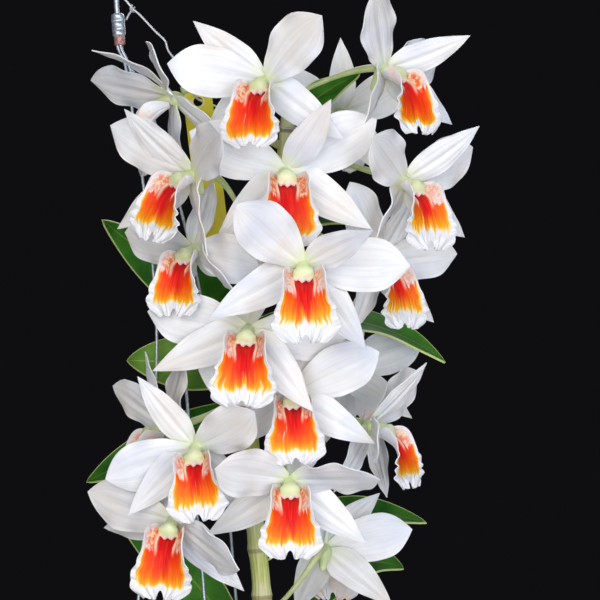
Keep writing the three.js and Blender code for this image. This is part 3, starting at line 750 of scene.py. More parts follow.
@dataclass(frozen=True)
class Bloom:
    """One orchid bloom: five tepals round a heart with its column, and a lip.

    A tepal's aim is (direction, rise, twist, curl) in degrees: direction counts from the bloom's right
    towards its top, rise is how far it leans forward, twist turns it about its own length and curl
    bends its tip. The last two may be left out.

    Attributes:
        name: Two digits that its pieces' names hold.
        at: The heart's place in mm.
        yaw: How far it faces to the viewer's right, in degrees.
        pitch: How far it looks up, in degrees.
        roll: How far it is turned counter-clockwise, in degrees.
        size: Scale of its tepals and lip.
        root: The height on the cane that its stalk leaves from, in mm.
        dorsal: The aim of the upper sepal.
        petals: The aims of the left and right petals.
        laterals: The aims of the left and right lower sepals.
        tone: How deep its lip is coloured, about -1 to 1.
        margin: How wide the white end of its lip is, in mm.
    """

    name: str
    at: Point
    yaw: float
    pitch: float
    roll: float
    size: float
    root: float
    dorsal: Aim
    petals: tuple[Aim, Aim]
    laterals: tuple[Aim, Aim]
    tone: float = 0.0
    margin: float = 5.0

    tepal_columns = 22
    tepal_rows = 32
    tepal_start = 1.4
    tepal_thickness = 0.55
    heart_line = ((0, -9.5, -8.5), (0, -4.5, -4.5), (0, -1, -1), (0, -0.6, 3), (0, -2.2, 9))
    heart_radii = (
        (0, 0.4), (0.02, 1.1), (0.06, 1.6), (0.28, 2.6), (0.45, 3.7), (0.55, 3.5), (0.7, 2.5),
        (0.88, 3.3), (0.97, 2.9), (1, 1.4),
    )  # fmt: skip
    stalk_end = (0, 1, -5.7)

    lip_columns = 48
    lip_rows = 64
    lip_steps = 40
    lip_base = (0, -4.1, 2.3)
    lip_length = 37
    lip_thickness = 0.5
    lip_dips = ((0, 12), (0.3, 25), (0.5, 55), (0.7, 70), (1, 72))
    lip_half_arcs = (
        (0, 5), (0.1, 9.5), (0.2, 13), (0.3, 13.8), (0.4, 11.8), (0.47, 11.2), (0.6, 12.8),
        (0.78, 14.8), (0.9, 13.2), (0.97, 9.8), (1, 7.5),
    )  # fmt: skip
    lip_half_angles = (
        (0, 60), (0.1, 84), (0.25, 96), (0.38, 78), (0.48, 52), (0.62, 25), (0.8, 8), (1, 1),
    )  # fmt: skip
    lip_notch = 0.1
    lip_notch_width = 0.16
    frill = 1.2
    frill_depth = 0.38
    keel_height = 0.9
    keel_place = 0.43
    keel_width = 0.035
    cap_radii = (4.6, 3.9, 3.1)
    cap_place = (0, -2.0, 9.4)

    def basis(self) -> Array:
        """Gives the bloom's right, up and facing directions as rows."""
        turn, tilt, roll = (math.radians(a) for a in (self.yaw, self.pitch, self.roll))
        facing = np.array([math.sin(turn) * math.cos(tilt), -math.cos(turn) * math.cos(tilt), math.sin(tilt)])
        up = unit(np.array([0, 0, 1.0]) - facing * facing[2])
        up = turned(up, facing, np.array(roll))
        return np.array([np.cross(up, facing), up, facing])

    def place(self, points: Array) -> Array:
        """Moves points from the bloom's own frame into the object's."""
        return points @ self.basis() + np.array(self.at)

    def seeded(self, extra: int) -> random.Random:
        """Gives this bloom's own source of random numbers for one of its pieces."""
        return random.Random(int(self.name) * 100 + extra)

    def tepal(self, kind: TepalKind, aim: Aim, index: int) -> bpy.types.Object:
        """Models one tepal as an open sheet.

        Args:
            kind: Which outline it has.
            aim: Where it points.
            index: Its place in the bloom, for its own waves.

        Returns:
            The sheet in the object's frame.
        """
        shape = TEPALS[kind]
        direction, rise = aim[0], aim[1]
        twist = aim[2] if len(aim) > 2 else 0.0
        curl = aim[3] if len(aim) > 3 else shape.curl
        draw = self.seeded(index)
        phase, sway, lean = draw.uniform(0, 6.28), draw.uniform(-1, 1), draw.uniform(-0.05, 0.05)
        azimuth = math.radians(direction)
        outward = np.array([math.cos(azimuth), math.sin(azimuth), 0])
        forward = np.array([0, 0, 1.0])
        sideways = np.cross(forward, outward)
        start = outward * self.tepal_start + forward * shape.lift
        length = shape.length * self.size
        bend = math.radians(curl)

        def surface(s: Array, t: Array) -> Array:
            angle = math.radians(rise) + bend * (t - 0.5)
            first = math.radians(rise) - bend * 0.5
            reach = length / bend * (np.sin(angle) - math.sin(first))
            climb = length / bend * (math.cos(first) - np.cos(angle))
            heading = outward * np.cos(angle)[:, None] + forward * np.sin(angle)[:, None]
            turn = np.radians(twist * np.minimum(1, 3 * t))
            side = turned(np.tile(sideways, (len(t), 1)), heading, turn)
            normal = np.cross(heading, side)
            rising = shape.base_width + (1 - shape.base_width) * np.sin(math.pi / 2 * t / shape.widest)
            past = np.clip((t - shape.widest) / (1 - shape.widest), 0, 1)
            falling = np.cos(math.pi / 2 * past**shape.taper)
            half = shape.half_width * self.size * np.where(t < shape.widest, rising, falling)
            half = half * (1 + lean * s)
            edge = np.abs(s) ** 3 * np.sin(math.pi * np.clip(t, 0, 1)) ** 0.6
            wave = np.sin(5.2 * math.pi * t + phase + 0.9 * np.sign(s)) * edge * shape.ripple * self.size
            crease = np.exp(-((s / 0.13) ** 2)) * (1 - smooth_step(0.55, 0.95, t)) * np.minimum(1, 6 * t)
            flutes = 0.1 * np.cos(s * 19) * np.sin(math.pi * t)
            bow = sway * np.sin(math.pi * t)
            lifted = shape.cup * half * s**2 + wave + flutes - 0.75 * crease
            points = start + outward * reach[:, None] + forward * climb[:, None]
            return self.place(points + side * (half * s + bow)[:, None] + normal * lifted[:, None])

        return grid_sheet("tepal", self.tepal_columns, self.tepal_rows, surface)

    def build_tepals(self, waxy: bpy.types.Material, tissue: bpy.types.Material) -> None:
        """Builds the five tepals with the heart, spur and column as one piece."""
        kinds = (TepalKind.DORSAL, *[TepalKind.LATERAL] * 2, *[TepalKind.PETAL] * 2)
        aims = (self.dorsal, *self.laterals, *self.petals)
        sheets = [self.tepal(kind, aim, index) for index, (kind, aim) in enumerate(zip(kinds, aims))]
        blades = join(sheets, "blades")
        blades.data.materials.append(waxy)
        merge_doubles(blades, 0.002)
        thicken(blades, self.tepal_thickness)
        pieces = [blades, self.heart(tissue), self.anther_cap(tissue)]
        tepals = join(pieces, f"bloom_{self.name}_blades")
        settle(tepals, "petal", f"bloom_{self.name}_tepals")

    def heart(self, tissue: bpy.types.Material) -> bpy.types.Object:
        """Models the spur, the heart and the column as one bar."""
        line = even_line(smooth_line(list(self.heart_line)), 40)
        radii = interpolate(self.heart_radii, np.linspace(0, 1, len(line)))
        return round_bar("heart", self.place(line), radii, tissue, 16)

    def anther_cap(self, tissue: bpy.types.Material) -> bpy.types.Object:
        """Models the blunt cap at the column's end, with the two lobes under it."""
        deselect()
        bpy.ops.mesh.primitive_uv_sphere_add(segments=32, ring_count=20, radius=1)
        cap = bpy.context.object
        # The sphere's own z looks out of the bloom here and its y is the bloom's up
        x, y, z = coordinates(cap).T
        y = np.where(y < 0, -np.abs(y) ** 0.62, y)
        low = smooth_step(0.1, 0.9, -y)
        teeth = 1 + 0.17 * low * np.sin(10 * x + self.seeded(5).uniform(0, 6.28))
        wide = 1 + 0.12 * low - 0.32 * smooth_step(0.2, 1, y)
        x_radius, y_radius, z_radius = self.cap_radii
        z = z_radius * (1 - 0.4 * low) * z + 0.8 * low
        points = np.stack([x_radius * wide * x, y_radius * teeth * y, z], axis=1) + np.array(self.cap_place)
        store(cap, "edge", 0.15 + 0.85 * smooth_step(0.2, 0.8, -y))
        cap.data.vertices.foreach_set("co", (self.place(points) * MM).ravel())
        cap.data.materials.append(tissue)
        merge_doubles(cap)
        shade(cap, 60)
        return cap

    def lip_centre(self) -> Array:
        """Traces the middle of the lip from its foot to its tip."""
        points = [np.array(self.lip_base, float)]
        step = self.lip_length * self.size / self.lip_steps
        for i in range(self.lip_steps):
            dip = math.radians(float(interpolate(self.lip_dips, (i + 0.5) / self.lip_steps)))
            points.append(points[-1] + step * np.array([0, -math.sin(dip), math.cos(dip)]))
        return np.array(points)

    def half_arc(self, t: Array) -> Array:
        """Gives the lip's half width at t along it, smoothed between its side lobes and its front."""
        nearby = [np.clip(t + shift, 0, 1) for shift in (-0.03, -0.015, 0, 0.015, 0.03)]
        return sum(interpolate(self.lip_half_arcs, place) for place in nearby) / len(nearby)

    def keels(self, s: Array, t: Array, width: float) -> Array:
        """Gives 1 in the middle of a keel, fading to 0 over a width, at s across and t along the lip."""
        middle = self.keel_place - 0.06 * t / 0.45
        return np.exp(-(((np.abs(s) - middle) / width) ** 2))

    def lip_sheet(self) -> tuple[bpy.types.Object, Array, Array, Array]:
        """Models the lip as an open sheet.

        Returns:
            The sheet, and for each of its vertices s across, t along and the way its upper face looks.
        """
        line = self.lip_centre()
        draw = self.seeded(9)
        phase, skew = draw.uniform(0, 6.28), draw.uniform(-0.4, 0.4)
        grid: list[Array] = []

        def surface(s: Array, t: Array) -> Array:
            notch = self.lip_notch * np.exp(-((s / self.lip_notch_width) ** 2)) * t**3
            scallop = 0.02 * np.sin(9 * s + phase) * smooth_step(0.8, 1, t)
            v = t * (1 - notch + scallop)
            place = np.clip(v * self.lip_steps, 0, self.lip_steps - 1e-6)
            low = place.astype(int)
            share = (place - low)[:, None]
            centre = line[low] * (1 - share) + line[low + 1] * share
            dip = np.radians(interpolate(self.lip_dips, v))
            half_angle = np.radians(interpolate(self.lip_half_angles, v))
            ripple = 1 + 0.035 * np.sin(2 * math.pi * 5.2 * t + phase * 2) * smooth_step(0.45, 0.6, t)
            radius = self.half_arc(v) * ripple * self.size / half_angle
            angle = s * half_angle
            up = np.stack([np.zeros_like(dip), np.cos(dip), np.sin(dip)], axis=1)
            point = centre + up * (radius * (1 - np.cos(angle)))[:, None]
            point[:, 0] += radius * np.sin(angle)
            normal = up * np.cos(angle)[:, None]
            normal[:, 0] = -np.sin(angle)
            edge = np.maximum(
                smooth_step(1 - self.frill_depth, 1, np.abs(s)) * smooth_step(0.42, 0.6, t),
                smooth_step(1 - self.frill_depth * 0.7, 1, t),
            )
            run = 4.2 * np.minimum(t, 0.84) * np.tanh(s / 0.25) + 1.9 * s * smooth_step(0.5, 1, t)
            wave = np.sin(2 * math.pi * (run + skew * t) + phase)
            wave = wave + 0.25 * np.sin(2 * math.pi * 1.7 * run + skew)
            ends = smooth_step(0.02, 0.1, t) * (1 - smooth_step(0.38, 0.5, t))
            keels = self.keels(s, t, self.keel_width) * self.keel_height * ends
            ends = smooth_step(0.3, 0.6, t) * (1 - smooth_step(0.75, 0.95, t))
            groove = -0.5 * np.exp(-((s / 0.09) ** 2)) * ends
            calm = 1 - 0.9 * np.exp(-((s / 0.22) ** 2))
            lifted = self.frill * self.size * edge * calm * wave * 0.7 + keels + groove
            grid[:] = [s, t, normal @ self.basis()]
            return self.place(point + normal * lifted[:, None])

        sheet = grid_sheet("lip", self.lip_columns, self.lip_rows, surface)
        return sheet, *grid

    def build_lip(self, frilled: bpy.types.Material) -> None:
        """Builds the lip, with what its finish reads kept on its vertices."""
        lip, s, t, normal = self.lip_sheet()
        count = len(s)
        side = (1 - np.abs(s)) * self.half_arc(t) * self.size
        side = side / interpolate(((0, 0.8), (0.42, 0.8), (0.55, 1.5), (0.8, 2.6), (1, 3.2)), t)
        end = (1 - t) * self.lip_length * self.size / self.margin
        store(lip, "rim", -np.log(np.exp(-side * 3) + np.exp(-end * 3)) / 3)
        store(lip, "tone", np.full(count, self.tone))
        store(lip, "core", 1 - np.sqrt((s / 0.45) ** 2 + (np.maximum(t - 0.3, 0) / 0.44) ** 2))
        store(lip, "ear", smooth_step(0.4, 0.5, np.abs(s)) * (1 - smooth_step(0.36, 0.5, t)))
        store(lip, "keel", self.keels(s, t, self.keel_width * 1.3) * (1 - smooth_step(0.36, 0.5, t)) * 0.95)
        store(lip, "outer", np.zeros(count))
        lip.data.materials.append(frilled)
        thicken(lip, self.lip_thickness)
        points = coordinates(lip)
        outer = np.sum((points[:count] - points[count : 2 * count]) * normal, axis=1) < 0
        outer = np.concatenate([outer, ~outer]).astype(float)
        lip.data.attributes["outer"].data.foreach_set("value", outer)
        lip.name = f"bloom_{self.name}_frilled_lip"
        settle(lip, "lip", f"bloom_{self.name}_lip")

    def stalk(self, cane: list[Point]) -> tuple[Array, Array]:
        """Works out the stalk from the cane to the back of the bloom.

        Args:
            cane: The flowering cane's points.

        Returns:
            The stalk's centre line and its radius at each point, in mm.
        """
        start = point_at_height(cane, self.root)
        facing = self.basis()[2]
        end = self.place(np.array(self.stalk_end))
        span = np.linalg.norm(end - start)
        outward = unit((end - start) * np.array([1, 1, 0]))
        leaving = start + outward * span * 0.3 + np.array([0, 0, span * 0.12])
        arriving = end - facing * span * 0.4
        u = np.linspace(0, 1, 26)[:, None]
        line = (
            start * (1 - u) ** 3
            + leaving * 3 * u * (1 - u) ** 2
            + arriving * 3 * u**2 * (1 - u)
            + end * u**3
        )
        radii = interpolate(((0, 1.9), (0.12, 1.5), (0.2, 1.15), (0.55, 1.2), (0.8, 1.7), (1, 1.9)), u[:, 0])
        return line, radii


FLOWER_CANE: list[Point] = [
    (52, 3, -545), (52, 3, -520), (52.3, 3, -500), (60, 2, -440), (69, 2, -370), (71.5, 2, -322),
    (68, 2, -283), (65.8, 2, -240), (66, 2, -192), (70, 2, -157), (77.8, 2, -130), (83, 2, -100),
    (85, 2, -74),
]  # fmt: skip
BACK_CANES: list[list[Point]] = [
    [(36, 12, -545), (36, 12, -520), (36.3, 12.2, -500), (44, 19, -440), (58, 24, -380), (66, 25, -345)],
    [(64, 14, -545), (64, 14, -520), (64.3, 14.2, -500), (77, 20, -440), (88, 24, -370), (91, 26, -332)],
]  # fmt: skip
BLOOMS = [
    Bloom(
        "01", (74, -36, -76), -20, -8, 0, 1, -86,
        (139, 6), ((167, 18), (40, 18)), ((215, -15), (322, 0)), -0.2, 4,
    ),
    Bloom(
        "02", (130, -16, -69), 42, -5, 0, 1, -80,
        (32, 38), ((129, 22), (12, -12)), ((221, 28, -30), (329, 12)), -0.6, 4,
    ),
    Bloom(
        "03", (83, -36, -118), 6, -10, -2, 1.05, -124,
        (65, 32), ((161, -14), (32, 0)), ((229, 0), (329, 12)), 0.8, 4,
    ),
    Bloom(
        "04", (139, -24, -122), 33, -8, 0, 1, -112,
        (42, 18), ((150, 28), (22, -8)), ((238, 8, -50), (326, 0)), -0.2, 8,
    ),
    Bloom(
        "05", (40, -42, -120), -38, -5, -10, 1, -150,
        (140, 20), ((156, 16), (35, 28)), ((222, 16), (311, 24, 40)), 0.1, 6,
    ),
    Bloom(
        "06", (29, -17, -82), -80, -22, 0, 1, -104,
        (92, 40, 0, 30), ((140, 40), (28, 6)), ((235, 10), (300, -26)), 0,
    ),
    Bloom(
        "07", (40, -28, -154), -25, -8, 0, 0.95, -152,
        (95, -45), ((170, -15), (352, 20)), ((228, -8), (330, 30, 50)), 0.1,
    ),
    Bloom(
        "08", (91, -62, -162), 2, -10, 2, 1.05, -170,
        (32, 40), ((132, 28), (358, 0)), ((207, 5), (305, 0)), 0.3, 8,
    ),
    Bloom(
        "09", (66, -48, -191), -3, -10, -2, 1.05, -184,
        (90, -50), ((174, -12), (352, -24)), ((206, 0), (312, 16)), 0.4, 6.5,
    ),
    Bloom(
        "10", (127, -6, -160), 38, -8, 0, 0.95, -142,
        (60, 0), ((120, 0), (8, 10)), ((228, 26), (320, 10)), -0.3, 7,
    ),
    Bloom(
        "11", (86, -34, -221), 2, -6, 2, 0.98, -206,
        (75, -10), ((165, -12), (25, 8)), ((215, -15), (328, 12)), -0.1, 5,
    ),
    Bloom(
        "12", (111, 26, -212), 160, 0, 0, 0.9, -220,
        (100, 10), ((160, 10), (40, 20)), ((215, 10), (290, 20)), 0,
    ),
    Bloom(
        "13", (124, -14, -237), 58, -5, 0, 0.9, -242,
        (68, 32), ((190, 35), (37, 6)), ((225, 0), (300, 0)), -0.7, 5,
    ),
    Bloom(
        "14", (42, -46, -245), -4, -12, 8, 0.95, -238,
        (120, 0), ((191, 5), (30, 32)), ((216, 14), (300, -10)), -0.8, 6,
    ),
    Bloom(
        "15", (27, -18, -238), -70, -5, 0, 0.85, -228,
        (100, 10), ((145, 25), (60, -10)), ((215, 0), (235, -5)), -0.3,
    ),
    Bloom(
        "16", (85, -46, -260), 2, -12, 0, 1, -256,
        (55, -45), ((158, 38), (10, 30, 40)), ((215, 0), (321, 8)), 0.3, 5.5,
    ),
    Bloom(
        "17", (32, -46, -278), -12, -14, -3, 1, -270,
        (120, -54), ((172, -15), (342, 34, 30)), ((200, -25), (315, 0)), 0.0, 5,
    ),
    Bloom(
        "18", (102, 8, -298), 170, 0, 0, 0.95, -330,
        (133, 35), ((168, 20), (60, 30)), ((222, 15), (299, 30)), 0,
    ),
    Bloom(
        "19", (92, -24, -342), 5, -8, 0, 0.95, -330,
        (118, 38), ((165, 15), (35, 10, 50)), ((230, 10), (310, 10)), 0,
    ),
    Bloom(
        "20", (110, 34, -86), 180, 0, 0, 0.9, -114,
        (90, 10), ((150, 10), (30, 10)), ((230, 10), (310, 10)), 0,
    ),
]  # fmt: skip


# Canes, stalks and leaves


@dataclass(frozen=True)
class Cane:
    """One jointed cane.

    Attributes:
        name: The frame's node that it stands for.
        points: The points that its centre line passes through, in mm.
        thin: The radius that its ends taper towards, in mm.
        thick: Its greatest radius, in mm.
        node_spacing: About how far apart its nodes are, in mm.
        step: About how far apart the rings of its mesh are, in mm.
    """

    name: str
    points: list[Point]

    thin = 3.2
    thick = 4.6
    node_spacing = 23.0
    step = 1.5

    def middle(self, t: Array) -> Array:
        """Gives its radius between nodes at a share t of its length."""
        return self.thin + (self.thick - self.thin) * np.sin(math.pi * np.minimum(0.95, t + 0.1))

    def bar(self, finish: bpy.types.Material) -> bpy.types.Object:
        """Models the cane with a stepped ring and a swelling at each node."""
        line = smooth_line(self.points)
        length = float(np.sum(np.linalg.norm(np.diff(line, axis=0), axis=1)))
        count = round(length / self.step)
        line = even_line(line, count)
        t = np.linspace(0, 1, count + 1)
        nodes = max(1, round(length / self.node_spacing))
        place = (t * nodes) % 1.0
        gap = np.minimum(place, 1 - place) * length / nodes
        gap = np.where((t < 0.5 / nodes) | (t > 1 - 0.5 / nodes), length / nodes / 2, gap)
        radii = self.middle(t) * (0.97 + 0.11 * np.exp(-((gap / 2.6) ** 2)))
        # Each sheath ends in a lip just above the node and is a little wider than what grows from it
        radii = radii * (1 + 0.05 * (1 - smooth_step(0.0, 0.35, place)) * (place < 0.35))
        radii[-3:] *= (0.92, 0.7, 0.3)
        cane = round_bar(self.name, line, radii, finish, 20)
        store(cane, "node_mm", np.repeat(gap, 20))
        return cane

    def build(self, finish: bpy.types.Material) -> None:
        """Builds a cane that stands alone."""
        cane = self.bar(finish)
        cane.name = f"jointed_{self.name}"
        settle(cane, "cane", self.name)


class FloweringCane(Cane):
    """The cane that carries the blooms on their stalks."""

    bract_length = 7.0
    bract_thickness = 0.35

    def build_with_stalks(self, finish: bpy.types.Material, stalk: bpy.types.Material) -> None:
        """Builds the cane and, as a second piece, every bloom's stalk with the bract at its foot."""
        cane = self.bar(finish)
        cane.name = "jointed_flowering_cane"
        settle(cane, "cane", self.name)
        bars: list[bpy.types.Object] = []
        for bloom in BLOOMS:
            line, radii = bloom.stalk(self.points)
            bars.append(round_bar("stalk", line, radii, stalk))
            bars.append(self.bract(line, finish))
        stalks = join(bars, "bloom_stalks")
        settle(stalks, "cane", self.name)

    def bract(self, line: Array, finish: bpy.types.Material) -> bpy.types.Object:
        """Models the small dry scale that clasps a stalk where it leaves the cane."""
        foot, heading = line[2], unit(line[5] - line[1])
        across = unit(np.cross(heading, np.array([0.1, 0.2, 1.0])))
        under = np.cross(heading, across)

        def surface(s: Array, t: Array) -> Array:
            angle = s * 1.9 * (1 - 0.5 * t)
            radius = 2.1 + 0.9 * t
            turn = under * np.cos(angle)[:, None] + across * np.sin(angle)[:, None]
            along = self.bract_length * (t - 0.3) * (1 - 0.35 * s**2)
            return foot + turn * (radius * (1 - 0.25 * t * s**2))[:, None] + heading * along[:, None]

        bract = grid_sheet("bract", 8, 5, surface)
        bract.data.materials.append(finish)
        # Far from any node, so that the cane's finish draws no ring on it
        store(bract, "node_mm", np.full(len(bract.data.vertices), 6.0))
        thicken(bract, self.bract_thickness)
        return bract


@dataclass(frozen=True)
class Leaf:
    """One strap leaf, in mm.

    Attributes:
        number: Its place in the frame's names.
        cane: The points of the cane that it grows from.
        height: Where it leaves that cane.
        bend: The point that its curve is pulled towards.
        tip: Its end.
        half: Half of its greatest width.
        up: Roughly where its upper side faces.
        pale: Whether it is a young, lighter leaf.
    """

    number: int
    cane: list[Point]
    height: float
    bend: Point
    tip: Point
    half: float
    up: Point
    pale: bool = False

    columns = 18
    rows = 40
    thickness = 1.0
    fold = 0.28

    def half_width(self, t: Array) -> Array:
        """Gives half of its width at a share t of its length."""
        return self.half * np.sin(math.pi * (0.05 + 0.95 * t)) ** 0.75

    def build(self, dark: bpy.types.Material, pale: bpy.types.Material) -> None:
        """Builds the leaf: a folded, slightly waved blade whose foot clasps the cane."""
        root = point_at_height(self.cane, self.height)
        bend, tip = np.array(self.bend, float), np.array(self.tip, float)
        foot = root + unit(bend - root) * 3.0
        draw = random.Random(self.number)
        phase, lean = draw.uniform(0, 6.28), draw.uniform(-0.6, 0.6)
        shares: list[Array] = []

        def surface(s: Array, t: Array) -> Array:
            shares[:] = [s, t]
            u = t[:, None]
            centre = foot * (1 - u) ** 2 + bend * 2 * u * (1 - u) + tip * u**2
            heading = unit((bend - foot) * (1 - u) + (tip - bend) * u)
            side = unit(np.cross(heading, np.array(self.up, float)))
            normal = np.cross(side, heading)
            half = self.half_width(t)
            gather = 1 + 2.4 * np.exp(-t / 0.07)
            angle = np.abs(s) * self.fold * gather
            across = half * s * np.cos(np.minimum(angle, 1.2))
            trough = np.sqrt(s**2 + 0.03) - 0.17
            rise = half * np.sin(np.minimum(self.fold * gather, 1.2)) * trough
            edge = np.abs(s) ** 2 * np.sin(math.pi * t)
            wave = 0.9 * np.sin(4.4 * math.pi * t + phase + np.sign(s)) * edge
            sway = lean * np.sin(2 * math.pi * t)
            return centre + side * (across + sway)[:, None] + normal * (rise + wave)[:, None]

        leaf = grid_sheet(f"strap_leaf_{self.number}", self.columns, self.rows, surface)
        s, t = shares
        store(leaf, "rim", (1 - np.abs(s)) * np.maximum(self.half_width(t), 0.3))
        leaf.data.materials.append(pale if self.pale else dark)
        merge_doubles(leaf, 0.002)
        thicken(leaf, self.thickness)
        settle(leaf, "leaf", f"leaf_{self.number}")


LEAVES = [
    Leaf(1, FLOWER_CANE, -194, (34, 58, -172), (-8, 28, -138), 14, (-0.3, -1, 0.4)),
    Leaf(2, FLOWER_CANE, -218, (35, 7, -205), (6, 7, -207), 14, (0, -1, 0.3), pale=True),
    Leaf(3, FLOWER_CANE, -227, (22, 28, -248), (-15, 22, -267), 11, (0.2, -1, 0.6)),
    Leaf(4, BACK_CANES[0], -350, (28, 30, -300), (-5, 26, -276), 13, (-0.3, -1, 0.5)),
    Leaf(5, FLOWER_CANE, -190, (120, 10, -178), (160, 8, -208), 11, (0.2, -0.6, 1)),
    Leaf(6, FLOWER_CANE, -306, (98, 60, -276), (153, 40, -289), 11, (0, -0.8, 0.8)),
    Leaf(7, BACK_CANES[1], -338, (112, 58, -300), (142, 48, -313), 12, (0.2, -0.8, 0.8)),
    Leaf(8, FLOWER_CANE, -93, (95, 11, -80), (119, 12, -68), 8, (-0.4, -1, 0.4)),
    Leaf(9, FLOWER_CANE, -158, (74, 34, -124), (140, 34, -142), 11, (0, -0.8, 0.8)),
]


# Pot and bark


@dataclass(frozen=True)
class Pot:
    """The thrown clay pot, in mm.

    Attributes:
        centre: How far its axis is to the right of the hook.
        rim_z: Height of its rim.
        height: From its foot to its rim.
        rim: Outer radius of its rim band.
        band: Height of the band.
        step: How far the band stands out from the wall below it.
        base: Outer radius of its foot.
        wall: Thickness of its wall.
        floor: Thickness of its floor.
        drain: Radius of the drain hole.
        hole: Radius of a wire hole.
        hole_drop: How far the wire holes are below the rim.
        hole_angles: Where the wire holes are, in degrees from the right.
        bark_drop: How far the bark's edge is below the rim.
        bark_mound: How far the bark's middle stands above its edge.
    """

    centre: float = 45.0
    rim_z: float = -509.0
    height: float = 95.0
    rim: float = 55.0
    band: float = 18.0
    step: float = 4.0
    base: float = 37.0
    wall: float = 5.0
    floor: float = 6.0
    drain: float = 6.0
    hole: float = 1.25
    hole_drop: float = 9.0
    hole_angles: tuple[float, ...] = (180, 60, 300)
    bark_drop: float = 13.0
    bark_mound: float = 4.2

    @property
    def foot_z(self) -> float:
        """The height that the pot stands at."""
        return self.rim_z - self.height

    def outer(self, z: float) -> float:
        """Gives the outer radius below the band at a height."""
        top = self.rim_z - self.band
        return self.base + (self.rim - self.step - self.base) * (z - self.foot_z) / (top - self.foot_z)

    def profile(self) -> list[tuple[float, float]]:
        """Lists radius and height from the drain hole under the pot and up to its inside floor."""
        low, top, band = self.foot_z, self.rim_z, self.rim_z - self.band
        inside = self.base - self.wall + 1.5
        return [
            (self.drain, low + 1.2),
            (self.drain + 1, low + 1.0),
            (self.base - 5, low + 1.0),
            (self.base - 4, low),
            (self.base - 1, low),
            (self.base, low + 1),
            (self.outer(low + 20), low + 20),
            (self.outer(low + 50), low + 50),
            (self.outer(band - 2), band - 2),
            (self.outer(band) + 0.2, band - 0.4),
            (self.rim - 1.8, band),
            (self.rim - 0.5, band + 0.8),
            (self.rim - 0.2, band + 2.2),
            (self.rim - 0.6, band + self.band / 2),
            (self.rim, top - 3),
            (self.rim - 0.6, top - 1),
            (self.rim - 1.8, top),
            (self.rim - self.wall + 1.4, top),
            (self.rim - self.wall + 0.2, top - 1),
            (self.rim - self.wall - 0.4, top - 4),
            (self.rim - self.wall - 5.2, band - 4),
            (inside, low + self.floor + 3),
            (inside - 3, low + self.floor),
            (self.drain + 1, low + self.floor),
            (self.drain, low + self.floor - 1),
        ]

    def build(self, clay: bpy.types.Material) -> None:
        """Turns the pot on its axis and bores its wire holes."""
        profile = self.profile()
        deselect()
        bpy.ops.mesh.primitive_circle_add(vertices=len(profile), radius=1)
        pot = bpy.context.object
        pot.name = "thrown_pot"
        for vertex, (radius, z) in zip(pot.data.vertices, profile):
            vertex.co = (radius * MM, 0, z * MM)
        apply_modifier(
            pot, "SCREW", steps=96, render_steps=96, use_merge_vertices=True, merge_threshold=1e-6,
            use_normal_calculate=True,
        )  # fmt: skip
        merge_doubles(pot, 0.001)
        self.throw(pot)
        for angle in self.hole_angles:
            self.bore(pot, angle)
        for vertex in pot.data.vertices:
            vertex.co.x += self.centre * MM
        pot.data.materials.clear()
        pot.data.materials.append(clay)
        shade(pot, 40)
        settle(pot, "terracotta", "pot")

    def throw(self, pot: bpy.types.Object) -> None:
        """Gives the wall the slight unevenness of a pot thrown by hand."""
        for vertex in pot.data.vertices:
            x, y, z = (c / MM for c in vertex.co)
            turn = math.atan2(y, x)
            share = 0.25 * math.sin(2 * turn + z * 0.03) + 0.12 * math.sin(5 * turn + z * 0.11)
            scale = 1 + share / 60
            vertex.co.x *= scale
            vertex.co.y *= scale

    def bore(self, pot: bpy.types.Object, angle: float) -> None:
        """Bores one wire hole through the band."""
        turn = math.radians(angle)
        reach = (self.rim - self.wall / 2) * MM
        place = (reach * math.cos(turn), reach * math.sin(turn), (self.rim_z - self.hole_drop) * MM)
        deselect()
        bpy.ops.mesh.primitive_cylinder_add(
            vertices=20, radius=self.hole * MM, depth=16 * MM, location=place, rotation=(0, math.pi / 2, turn)
        )
        drill = bpy.context.object
        apply_modifier(pot, "BOOLEAN", object=drill, operation="DIFFERENCE", solver="EXACT")
        bpy.data.objects.remove(drill)


